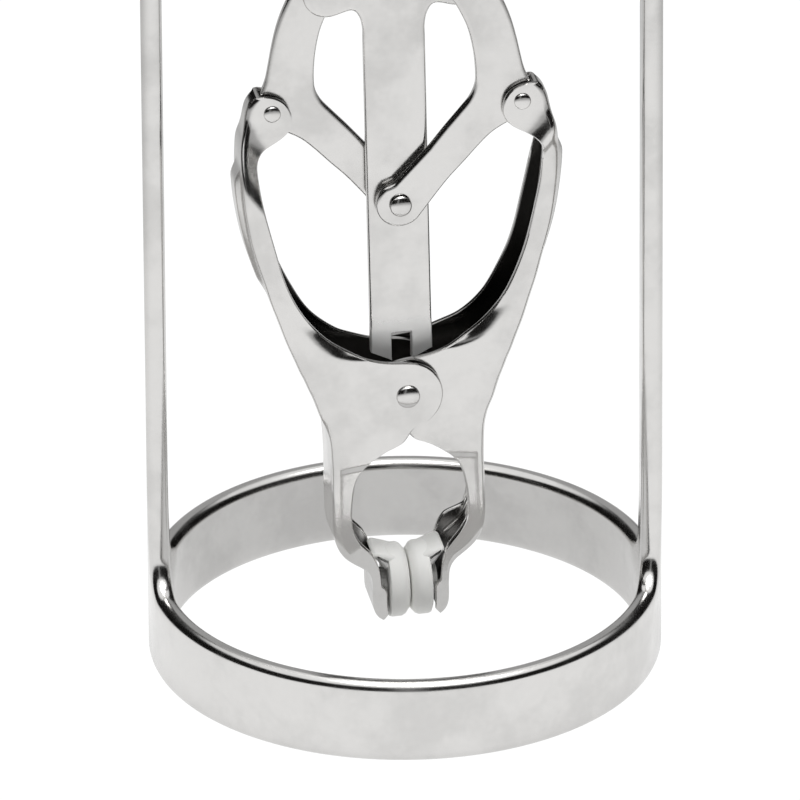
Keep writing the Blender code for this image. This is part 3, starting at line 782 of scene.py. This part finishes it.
def build_links(sizes):
    outline = even_keeping(link_outline(), 0.4)
    half = sizes.link_thick / 2
    depth = sizes.bar_thick / 2 + LINK_GAP + half
    for word, side in (("right", 1), ("left", -1)):
        points = plate(outline, half, 0.36, 7, 1.4)
        points = points * np.array((side, 1.0, 1.0)) - np.array((0, side * depth, 0))
        add_piece(word + "_loop", word + "_link", [shell(in_clamp(points))], finish_material("steel_sheet"),
                  (word + "_link",))


# Channel arms


def arm_stations():
    """Where the left arm's channel runs, mirrored to u outwards: the web's outer line (u, height), then the
    wide flange's inner edge and how far the narrow flange stays back from it."""
    ear = [
        (15.6, 70.1, 15.0, 70.15, 0), (15.95, 69.9, 13.6, 69.85, 0), (16.5, 69.2, 12.5, 69.2, 0),
        (16.85, 68.3, 11.85, 68.2, 0), (17.05, 67.2, 11.65, 67.0, 0), (17.3, 66.0, 12.0, 65.7, 0),
        (17.65, 64.9, 13.4, 64.5, 0),
    ]
    upper = [
        (17.9, 63.4, 15.8, 63.1, 0), (18.0, 61.3, 16.0, 61.0, 0), (17.9, 58.8, 15.75, 58.4, 0),
        (17.6, 56.2, 15.15, 55.6, 0), (17.2, 53.7, 14.5, 52.8, 0), (16.6, 51.2, 13.9, 50.2, -0.1),
        (15.85, 48.7, 13.05, 47.5, -0.3), (15.2, 46.2, 11.8, 44.9, -0.25), (14.4, 43.8, 10.2, 42.5, 0.0),
        (13.6, 41.2, 8.3, 40.5, -0.2), (12.7, 38.9, 5.8, 38.95, 0),
    ]
    pivot = 4.05
    outer = [(12.2, 37.5), (11.7, 36.4), (11.3, 35.3), (10.8, 34.1), (10.4, 32.9), (10.0, 31.6)]
    outer += [(9.5, 30.5), (9.15, 29.4)]
    turn = np.radians((72, 98, 125, 150, 180, 212, 240, 262))
    inner = np.stack([pivot * np.cos(turn), MAIN_RIVET[1] + pivot * np.sin(turn)], -1)
    inner[0] = (2.6, 37.7)
    lobe = [(*o, *i, 0) for o, i in zip(outer, inner.tolist())]
    leg = [
        (8.95, 28.4, 0.6, 27.5, 0), (8.85, 27.3, 2.4, 26.75, 0), (8.8, 26.0, 4.4, 25.4, 0),
        (8.75, 24.2, 5.75, 23.9, 0), (8.8, 22.2, 6.4, 22.0, 0), (8.8, 19.5, 6.7, 19.4, 0),
        (8.8, 17.0, 6.65, 17.3, 0), (8.45, 15.1, 6.2, 16.2, 0), (7.75, 13.75, 5.6, 15.2, 0),
        (6.75, 12.75, 4.9, 14.4, 0), (5.6, 11.9, 4.3, 13.6, 0),
    ]
    jaw = [
        (4.75, 11.1, 3.75, 12.2, 0), (4.45, 10.2, 3.45, 10.6, 0), (4.4, 9.3, 3.4, 9.5, 0),
        (4.4, 8.8, 2.75, 8.9, 0), (4.4, 7.4, 2.75, 7.6, 0), (4.3, 6.4, 2.75, 6.9, 0),
        (3.95, 5.6, 2.75, 6.3, 0), (3.35, 5.15, 2.72, 5.9, 0),
    ]
    return np.array(ear + upper + lobe + leg + jaw, float)


def ear_depth(sizes):
    """How far an ear's rear face stands from the bar's middle plane, behind the link."""
    return sizes.bar_thick / 2 + LINK_GAP + sizes.link_thick + EAR_GAP + sizes.arm_sheet


def flange_depths(sizes, height):
    """How far the two flanges' outer faces stand from the bar's middle plane, down the arm: close round
    the link at the ears, wide apart below the shoulder, and a little closer again at the jaw."""
    spread_top, spread_length = 66.2, 9.5
    back = ear_depth(sizes)
    back = back + (sizes.inner_flange - back) * smoothstep((spread_top - height) / spread_length)
    back = back + (JAW_BACK - back) * smoothstep((JAW_TOP - height) / JAW_BLEND)
    return near_depth(sizes, height), back


def arm_surface(sizes, leg_trim):
    """The arm is one sheet bent to a channel. Each row runs from the wide flange's inner edge out to the
    web, round both bends and back to the narrow flange's edge, then returns along the inside. `leg_trim`
    narrows the wide flange down the leg."""
    rows = smoothed(spline(arm_stations(), 6), 4)
    web, edge, held = rows[:, :2], rows[:, 2:4], rows[:, 4]
    near, back = flange_depths(sizes, web[:, 1])
    inwards = edge - web
    reach = np.linalg.norm(inwards, axis=1)
    inwards = inwards / reach[:, None]
    sheet = np.minimum(sizes.arm_sheet, reach * 0.45)
    bend = np.minimum(sizes.arm_bend, reach * 0.4)
    tip = np.minimum(0.18, sheet * 0.3)
    leg_low, leg_high, fade = 12.5, 28.5, 3
    trim = leg_trim * smoothstep((web[:, 1] - leg_low) / fade) * smoothstep((leg_high - web[:, 1]) / fade)
    wide, narrow = reach - np.minimum(trim, reach * 0.5), reach - held
    quarter = np.radians(np.linspace(90, 0, 6))
    share = np.linspace(0, 1, 9)

    def column(n, v):
        return np.stack([n + 0 * reach, v + 0 * reach], -1)

    def flange(width, face, inward_sign, inside):
        """Columns across one flange's face, from its edge to where its bend starts."""
        start = sheet + 0.12 if inside else bend
        level = face + inward_sign * (sheet if inside else 0)
        stops = [column(width - tip, level)]
        stops += [column(width - tip - 0.05 + (start + 0.05 - width + tip + 0.05) * s, level) for s in share]
        return stops + [column(start, level)]

    outer = flange(wide, -near, 1, False)
    outer += [column(bend * (1 - np.cos(q)), -near + bend * (1 - np.sin(q))) for q in quarter[1:]]
    web_share = np.linspace(0, 1, 19)[1:-1]
    outer += [column(0, (-near + bend) * (1 - s) + (back - bend) * s) for s in web_share]
    outer += [column(bend * (1 - np.cos(q)), back - bend * (1 - np.sin(q))) for q in quarter[::-1][:-1]]
    outer += flange(narrow, back, -1, False)[::-1]
    inner = [column(narrow, back - tip), column(narrow, back - sheet + tip)]
    inner += flange(narrow, back, -1, True)
    inner += [column(sheet, (back - sheet - 0.12) * (1 - s) + (-near + sheet + 0.12) * s)
              for s in np.linspace(0, 1, 9)]
    inner += flange(wide, -near, 1, True)[::-1]
    inner += [column(wide, -near + sheet - tip), column(wide, -near + tip)]
    section = np.stack(outer + inner, 1)
    section = shoulder(sizes, section, web[:, 1:2], reach[:, None], near[:, None])
    bead = rib_height(sizes, web[:, 1:2], section[..., 1], section[..., 0] < sheet[:, None] * 0.5)
    n, v = section[..., 0] - bead, section[..., 1]
    flat = web[:, None] + n[..., None] * inwards[:, None]
    u, h = flat[..., 0], flat[..., 1]
    v = v + press_depth(sizes, u, h, v)
    return np.stack([-u, v, h], -1)


def shoulder(sizes, section, height, reach, near):
    """Moves a section's points in depth where the stamping flows. The wide flange's shoulder runs down
    slantwise, lower at the flange's free edge. The narrow flange swells under the ear. Both flanges' free
    edges roll back a little above the main rivet."""
    slant_reach, slant_low = 3, 52
    swell_lean, swell_reach, swell_depth = 0.9, 1.6, 3
    roll_low, roll_high, roll_width, roll_from = 38.0, 47.0, 2.8, 1.5
    n, v = section[..., 0], section[..., 1]
    late = near_depth(sizes, height + sizes.slant * np.clip(n, 0, slant_reach)) - near
    slanted = -late * np.clip(-v / near, 0, 1) * smoothstep((height - slant_low) / 4)
    off = (height + swell_lean * n - sizes.swell_at) / swell_reach
    swell = np.exp(-off ** 2) * sizes.swell * np.clip(v / swell_depth, 0, 1)
    window = smoothstep((height - roll_low) / 2.0) * smoothstep((roll_high - height) / 4.0)
    roll = sizes.edge_roll * np.clip(1 - (reach - n) / roll_width, 0, 1) ** 2 * window
    v = v + slanted + swell - np.sign(v) * roll * (np.abs(v) > roll_from)
    return np.stack([n, v], -1)


def near_depth(sizes, height):
    """How far the wide flange's outer face stands in front of the bar's middle plane."""
    ear, spread_top, spread_length = 0.1, 68.4, 8.0
    near = ear + (sizes.outer_flange - ear) * smoothstep((spread_top - height) / spread_length)
    return near + (JAW_NEAR - near) * smoothstep((JAW_TOP - height) / JAW_BLEND)


def rib_height(sizes, height, depth, on_web):
    """The stiffening bead along the upper web: a smooth ridge down its middle with rounded ends."""
    low, high = sizes.bead_low, sizes.bead_high
    along = smoothstep((height - low) / 2.5) * smoothstep((high - height) / 2.5)
    ridge = smoothstep((sizes.bead_half - np.abs(depth + 0.5)) / 0.8)
    return sizes.bead_height * along * ridge * on_web


def press_depth(sizes, u, h, v):
    """The shallow pressing in each leg's flanges: they step inwards below a slanting upper edge."""
    top = 25.4 - 0.12 * (u - 5)
    inside = smoothstep((8.1 - u) / 0.6) * smoothstep((top - h) / 0.8) * smoothstep((h - 18.0) / 5.0)
    return -np.sign(v) * sizes.press * inside * (np.abs(v) > 2.0)


def build_arms(sizes):
    """The right arm is the left one turned half round. Their channels are dark inside from the lobe up
    and in the jaw, and the web's inside is paler further up."""
    left, right = arm_surface(sizes, 0.0), arm_surface(sizes, sizes.leg_trim)
    half_turn = np.array((-1.0, -1.0, 1.0))
    steel = finish_material("steel_channel")
    lobe_low, jaw_high, web_low = 29, 13.5, 44
    height = left[:, :1, 2]
    # Share of painted shade at each point: full on the inside faces from the lobe up and in the jaw, less on
    # the web's inside higher up.
    inside = np.zeros(left.shape[:2])
    inside[:, INNER_FACES] = smoothstep((height - lobe_low) / 5) + smoothstep((jaw_high - height) / 1.5)
    inside[:, INNER_WEB] *= 1 - 0.75 * smoothstep((height - web_low) / 6)
    for word, place in (("left", left), ("right", right * half_turn)):
        add_piece(word + "_channel", word + "_arm", [shell(in_clamp(place))], steel,
                  (word + "_arm",), 50, inside.ravel())


def build_rivets(sizes):
    """The arms' rivets in their ears, and the common rivet that both arms turn on."""
    steel = finish_material("steel_sheet")
    far = ear_depth(sizes)
    for word, side in (("left", -1), ("right", 1)):
        near, back = sorted((side * 0.1, -side * far))
        centre = (side * ARM_RIVET[0], ARM_RIVET[1])
        points = turned_along_depth(rivet_profile(near, back, 0.6, sizes.ear_head, 0.3), centre)
        add_piece(word + "_ear_rivet", word + "_arm", [shell(in_clamp(points), caps=False)], steel,
                  (word + "_arm_rivet",))
    reach = sizes.outer_flange
    points = turned_along_depth(rivet_profile(-reach, reach, 0.7, sizes.rivet_head + 0.08, 0.5), MAIN_RIVET)
    add_piece("pivot_rivet", "left_arm", [shell(in_clamp(points), caps=False)], steel,
              ("main_rivet",))


def build_springs(sizes):
    """Each coil is a helix of wire round the main rivet, with a straight leg out to its arm's web."""
    turns, radius = sizes.spring_turns, sizes.spring_radius
    sweep = np.linspace(0, 2 * np.pi * turns, int(40 * turns))
    depth = 1.3 + sizes.spring_wire * 2.4 * sweep / (2 * np.pi)
    coil = np.stack([-radius * np.cos(np.pi / 2 - sweep), -depth, radius * np.sin(np.pi / 2 - sweep)], -1)
    leg = np.linspace((-9.6, -1.3, radius + 0.9), (-0.3, -1.3, radius + 0.02), 30)
    route = smoothed(np.concatenate([leg, coil[2:]]), 2) + np.array((MAIN_RIVET[0], 0, MAIN_RIVET[1]))
    for word, side in (("front", 1), ("rear", -1)):
        points = tube(route * np.array((side, side, 1.0)), sizes.spring_wire)
        body = "left_arm" if side > 0 else "right_arm"
        add_piece(word + "_coil", body, [shell(in_clamp(points))], finish_material("steel_sheet"),
                  (word + "_spring",))


def build_pads(sizes):
    """A moulded pad: a disc with a bevelled gripping face, a stem into the cup, and a wing at its top that
    laps over the cup's lip."""
    radius, face, back = sizes.pad_radius, 0.1, 2.45
    profile = [(0, face), (radius * 0.6, face), (radius - 1.0, face), (radius - 0.75, face + 0.06),
               (radius - 0.2, face + 0.5), (radius, face + 0.9), (radius, back - 0.4),
               (radius - 0.12, back - 0.12), (radius - 0.4, back), (1.5, back), (1.5, 3.3), (0, 3.3)]
    disc = turned(profile, 72)
    disc = np.stack([disc[..., 2], disc[..., 0], disc[..., 1] + sizes.pad_height], -1)
    wing_line = [(1.0, 10.9), (2.7, 10.7), (3.15, 11.3), (3.7, 12.1), (4.25, 12.6), (3.8, 13.1), (2.6, 12.7),
                 (1.3, 12.2)]
    outline = soften(wing_line, 0.35, 5)
    wing = plate(outline, 2.3, 0.5, 5)
    for word, side in (("right", 1), ("left", -1)):
        turn = np.array((side, 1.0, 1.0))
        shells = [shell(in_clamp(disc * turn), caps=False), shell(in_clamp(wing * turn))]
        add_piece(word + "_grip", word + "_arm", shells, finish_material("white_rubber"),
                  (word + "_pad",))


# Stage


def floor_material(stage):
    """A lit white sweep. It is pure white to the eye. What the metal mirrors of it fades from the bright
    patch in front of the object to a softer grey at the sides and behind."""
    made = bpy.data.materials.new("sweep")
    made.use_nodes = True
    tree = made.node_tree
    tree.nodes.clear()
    place = add_node(tree, "ShaderNodeTexCoord", None, None, "Object")
    patch = (0.0, -0.09, 0.0)
    offset = add_node(tree, "ShaderNodeVectorMath", {"operation": "SUBTRACT"}, {0: place, 1: patch})
    away = add_node(tree, "ShaderNodeVectorMath", {"operation": "LENGTH"}, {0: offset}, "Value")
    seen = add_node(tree, "ShaderNodeMapRange", {"interpolation_type": "SMOOTHSTEP"},
                    between(0.06, 0.36, away, stage.floor_bright, stage.floor_dim))
    # Painted shadow: what the metal mirrors of the floor is darker within the ring's radius.
    middle = add_node(tree, "ShaderNodeVectorMath", {"operation": "LENGTH"}, {0: place}, "Value")
    seen = seen * add_node(tree, "ShaderNodeMapRange", {"interpolation_type": "SMOOTHSTEP"},
                           between(0.022, 0.034, middle, stage.shade_in_ring, 1.0))
    camera = add_node(tree, "ShaderNodeLightPath", None, None, "Is Camera Ray")
    level = seen + camera * (stage.backdrop - seen)
    glow = add_node(tree, "ShaderNodeEmission", None, {"Color": WHITE, "Strength": level})
    link_output(tree, glow)
    return made


def link_output(tree, shader, kind="ShaderNodeOutputMaterial"):
    node = tree.nodes.new(kind)
    tree.links.new(shader.output, node.inputs["Surface"])


def world_light(stage):
    """A studio's surroundings by height: a dark room up to the softbox overhead, and white to the eye."""
    world = bpy.data.worlds.new("studio")
    bpy.context.scene.world = world
    world.use_nodes = True
    tree = world.node_tree
    tree.nodes.clear()
    direction = add_node(tree, "ShaderNodeTexCoord", None, None, "Generated")
    height = add_node(tree, "ShaderNodeSeparateXYZ", None, {0: direction}, "Z")
    ramp = [
        (0.0, GROUND_GREY),
        (0.49, GROUND_GREY),
        (0.505, DARK_ROOM),
        (0.83, DARK_ROOM),
        (0.87, WHITE),
        (1.0, WHITE),
    ]
    room = add_node(tree, "ShaderNodeValToRGB", {"stops": ramp}, {0: height * 0.5 + 0.5})
    sideways = add_node(tree, "ShaderNodeSeparateXYZ", None, {0: direction}, "X")
    depth = add_node(tree, "ShaderNodeSeparateXYZ", None, {0: direction}, "Y")
    ahead = add_node(tree, "ShaderNodeMapRange", {"interpolation_type": "SMOOTHSTEP"},
                     between(0.06, 0.24, sideways.maths("ABSOLUTE", sideways, 0.0) - depth * 0.1,
                             stage.room_grey, 0.0))
    room = add_node(tree, "ShaderNodeMix", {"data_type": "RGBA", "blend_type": "LIGHTEN"},
                    {0: ahead, 6: room, 7: PALE_ROOM}, 2)
    camera = add_node(tree, "ShaderNodeLightPath", None, None, "Is Camera Ray")
    color = colour_mix(tree, camera, room, (stage.backdrop, stage.backdrop, stage.backdrop, 1))
    glow = add_node(tree, "ShaderNodeBackground", None, {"Color": color, "Strength": 1.0})
    link_output(tree, glow, "ShaderNodeOutputWorld")


def add_camera(stage):
    """A long lens at the object's front, a little to the left and well above."""
    azimuth, elevation = stage.azimuth, stage.elevation
    back = Vector((
        math.sin(azimuth) * math.cos(elevation),
        -math.cos(azimuth) * math.cos(elevation),
        math.sin(elevation),
    ))
    data = bpy.data.cameras.new("camera")
    data.sensor_width = 36.0
    data.lens = stage.lens
    data.clip_end = 20.0
    camera = bpy.data.objects.new("camera", data)
    bpy.context.scene.collection.objects.link(camera)
    camera.location = Vector(stage.target) + back * (stage.view_width * stage.lens / data.sensor_width)
    roll = Quaternion((0, 0, 1), stage.roll)
    camera.rotation_euler = (back.to_track_quat("Z", "Y") @ roll).to_euler()
    bpy.context.scene.camera = camera


def build_stage(stage):
    """A round floor just under the foot, the studio round it, an overhead softbox and the camera."""
    reach, sides, sunk = 2.5, 96, 0.0002
    angle = np.linspace(0, 2 * np.pi, sides, endpoint=False)
    points = np.stack([reach * np.cos(angle), reach * np.sin(angle), -sunk + 0 * angle], -1)
    mesh = bpy.data.meshes.new("floor")
    mesh.from_pydata(points.tolist(), [], [list(range(sides))])
    floor = bpy.data.objects.new("floor", mesh)
    mesh.materials.append(floor_material(stage))
    bpy.context.scene.collection.objects.link(floor)
    world_light(stage)
    lamp = bpy.data.lights.new("softbox", "AREA")
    lamp.shape = "DISK"
    lamp.size = 0.7
    lamp.energy = stage.softbox
    softbox = bpy.data.objects.new("softbox", lamp)
    softbox.location = (0.1, -0.15, 1.0)
    bpy.context.scene.collection.objects.link(softbox)
    softbox.rotation_euler = (Vector(softbox.location).to_track_quat("Z", "Y")).to_euler()
    add_camera(stage)
    bpy.context.scene.view_settings.view_transform = "Standard"


# Settings, operators and panel


def millimetres(name, description, default):
    return FloatProperty(name=name, description=description, default=default, min=0.0, unit="NONE")


def plain(name, description, default):
    return FloatProperty(name=name, description=description, default=default)


def degrees(name, description, default):
    return FloatProperty(name=name, description=description, default=math.radians(default), unit="ROTATION")


class FrameSizes(bpy.types.PropertyGroup):
    wall: millimetres("Wall", "Thickness of the ring and the bars, in mm", 2.4)
    bar_width: millimetres("Bar width", "Width of the posts and the bridge, in mm", 8.2)
    foot_fillet: millimetres("Foot fillet", "Radius where a post grows from the ring, in mm", 3.6)
    bridge_bend: millimetres("Bridge bend", "Radius of the bridge's bends at mid wall, in mm", 7.0)
    bridge_hole: millimetres("Bridge hole", "Radius of the screw's hole in the bridge, in mm", 2.85)
    thread_pitch: millimetres("Thread pitch", "Lift for each turn of the nut, in mm", 0.8)
    thread_depth: millimetres("Thread depth", "Depth of the screw's thread, in mm", 0.42)
    knurl_depth: millimetres("Knurl depth", "Depth of the nut's knurl, in mm", 0.45)
    yoke_half: millimetres("Yoke reach", "Half the stirrup's outside depth, in mm", 4.5)
    yoke_top: millimetres("Yoke top", "Height of the stirrup's top, in mm", 101.5)
    yoke_sheet: millimetres("Yoke sheet", "Thickness of the stirrup, in mm", 1.2)
    yoke_width: millimetres("Yoke width", "Width of the stirrup, in mm", 6.0)
    knurl_count: IntProperty(name="Knurls", description="Grooves round the nut", default=34, min=8)
    edge_steps: IntProperty(
        name="Edge steps", description="Points round a half-round edge", default=17, min=5
    )


class ClampSizes(bpy.types.PropertyGroup):
    bar_thick: millimetres("Bar thickness", "Thickness of the pull bar, in mm", 1.3)
    bar_half: millimetres("Bar half width", "Half the pull bar's width, in mm", 3.5)
    link_thick: millimetres("Link thickness", "Thickness of the finger loops, in mm", 1.1)
    arm_sheet: millimetres("Arm sheet", "Thickness of the arms' sheet, in mm", 0.75)
    arm_bend: millimetres("Arm bend", "Outside radius of the arms' bends, in mm", 0.8)
    outer_flange: millimetres("Outer flange", "Depth of the wide flange's face, in mm", 4.2)
    inner_flange: millimetres("Inner flange", "Depth of the narrow flange's face, in mm", 3.15)
    rivet_head: millimetres("Rivet head", "Radius of the rivets' heads, in mm", 1.25)
    leg_trim: millimetres("Leg trim", "How much narrower the right leg's rear flange is, in mm", 1.5)
    slant: plain("Shoulder slant", "How much lower the shoulder runs for each mm inwards", 1.25)
    swell: millimetres("Swell", "How far the narrow flange swells under its ear, in mm", 0.8)
    swell_at: millimetres("Swell height", "Height of that swell at the web, in mm", 65.0)
    edge_roll: millimetres("Edge roll", "How far the flanges' free edges roll back, in mm", 0.6)
    ear_head: millimetres("Ear rivet head", "Radius of the ear rivets' heads, in mm", 0.95)
    bead_low: millimetres("Bead start", "Height where the web's bead starts, in mm", 46.5)
    bead_high: millimetres("Bead end", "Height where the web's bead ends, in mm", 63.0)
    bead_half: millimetres("Bead half width", "Half the bead's width, in mm", 2.2)
    bead_height: millimetres("Bead height", "How far the bead stands out, in mm", 0.7)
    press: millimetres("Pressing", "Depth of the pressing in each leg, in mm", 0.22)
    spring_wire: millimetres("Spring wire", "Radius of the spring's wire, in mm", 0.2)
    spring_radius: millimetres("Spring coil", "Middle radius of the spring's coil, in mm", 1.55)
    spring_turns: plain("Spring turns", "Turns in each coil", 1.5)
    pad_radius: millimetres("Pad radius", "Radius of a rubber pad, in mm", 4.25)
    pad_height: millimetres("Pad height", "Height of the pads' middle, in mm", 8.5)


class Finishes(bpy.types.PropertyGroup):
    steel_color: FloatVectorProperty(
        name="Steel", description="Colour of the polished steel", subtype="COLOR", default=(0.70, 0.692, 0.68)
    )
    # Painted shade: the near-black colour put on the inside of the arms' channels.
    channel_shade_color: FloatVectorProperty(
        name="Channel inside", description="Colour inside the arms' channels", subtype="COLOR",
        default=(0.05, 0.048, 0.045)
    )
    rubber_color: FloatVectorProperty(
        name="Rubber", description="Colour of the pads", subtype="COLOR", default=(0.88, 0.88, 0.865)
    )
    roughness: plain("Polish", "Roughness of clean steel", 0.13)
    smear: plain("Smears", "Roughness that handling adds", 0.09)
    waviness: plain("Waviness", "Strength of the sheet's waves", 0.4)


class StageSettings(bpy.types.PropertyGroup):
    azimuth: degrees("Azimuth", "Camera's turn", -1.0)
    elevation: degrees("Elevation", "Camera's height", 26.4)
    roll: degrees("Roll", "Camera's lean", -0.345)
    lens: millimetres("Lens", "Focal length, in mm", 720.0)
    view_width: FloatProperty(
        name="View width", description="Width of the picture at the object", default=0.0899, unit="LENGTH"
    )
    target: FloatVectorProperty(
        name="Target", description="Point in the picture's middle", default=(-0.0004, 0.0, 0.0309),
        unit="LENGTH"
    )
    backdrop: plain("Backdrop", "Brightness of the white sweep", 1.05)
    floor_bright: plain("Near floor", "Mirrored brightness in front", 1.05)
    floor_dim: plain("Far floor", "Mirrored brightness further off", 0.5)
    shade_in_ring: plain("Ring shade", "Brightness left inside the ring", 0.72)
    room_grey: plain("Room", "Grey of the room straight ahead and behind", 0.7)
    softbox: FloatProperty(name="Softbox", description="Power overhead", default=8.0, unit="POWER")


def build_operator(idname, label, note, build, group):
    """An operator that runs one build function on a group of settings. A failure in it raises, which
    stops the script."""

    class Build(bpy.types.Operator):
        bl_idname = "clamp." + idname
        bl_label = label
        bl_options = {"REGISTER", "UNDO"}
        __doc__ = note

        def execute(self, context):
            build(getattr(context.scene, group))
            return {"FINISHED"}

    Build.__name__ = "CLAMP_OT_" + idname
    return Build


def build_lift(sizes):
    """The three pieces on the lifting axis."""
    build_washer()
    build_nut(sizes)
    build_screw(sizes)


OPERATORS = [
    build_operator("weldment", "Frame", "Builds the ring, posts and bridge", build_frame, "clamp_frame"),
    build_operator("lift", "Lift", "Builds the screw, nut and washer", build_lift, "clamp_frame"),
    build_operator("yoke", "Yoke", "Builds the stirrup, pin and spacers", build_yoke, "clamp_frame"),
    build_operator("bar", "Bar", "Builds the pull bar and its rivet", build_bar, "clamp_sizes"),
    build_operator("links", "Links", "Builds the finger loops", build_links, "clamp_sizes"),
    build_operator("arms", "Arms", "Builds the channel arms", build_arms, "clamp_sizes"),
    build_operator("rivets", "Rivets", "Builds the arms' rivets", build_rivets, "clamp_sizes"),
    build_operator("springs", "Springs", "Builds the closing spring", build_springs, "clamp_sizes"),
    build_operator("pads", "Pads", "Builds the rubber pads", build_pads, "clamp_sizes"),
    build_operator("stage", "Stage", "Builds the floor, light and camera", build_stage, "clamp_stage"),
]


class CLAMP_PT_panel(bpy.types.Panel):
    """Lists the build steps."""

    bl_label = "Clover clamp frame"
    bl_space_type = "VIEW_3D"
    bl_region_type = "UI"
    bl_category = "Clamp"

    def draw(self, context):
        for operator in OPERATORS:
            self.layout.operator(operator.bl_idname)


GROUPS = {
    "clamp_frame": FrameSizes,
    "clamp_sizes": ClampSizes,
    "clamp_finish": Finishes,
    "clamp_stage": StageSettings,
}


def register():
    for name, group in GROUPS.items():
        bpy.utils.register_class(group)
        setattr(bpy.types.Scene, name, PointerProperty(type=group))
    for item in [*OPERATORS, CLAMP_PT_panel]:
        bpy.utils.register_class(item)


def unregister():
    for item in [CLAMP_PT_panel, *reversed(OPERATORS)]:
        bpy.utils.unregister_class(item)
    for name, group in GROUPS.items():
        delattr(bpy.types.Scene, name)
        bpy.utils.unregister_class(group)


def main():
    register()
    for operator in OPERATORS:
        name = operator.bl_idname.split(".")[1]
        getattr(bpy.ops.clamp, name)()


if __name__ == "__main__":
    main()
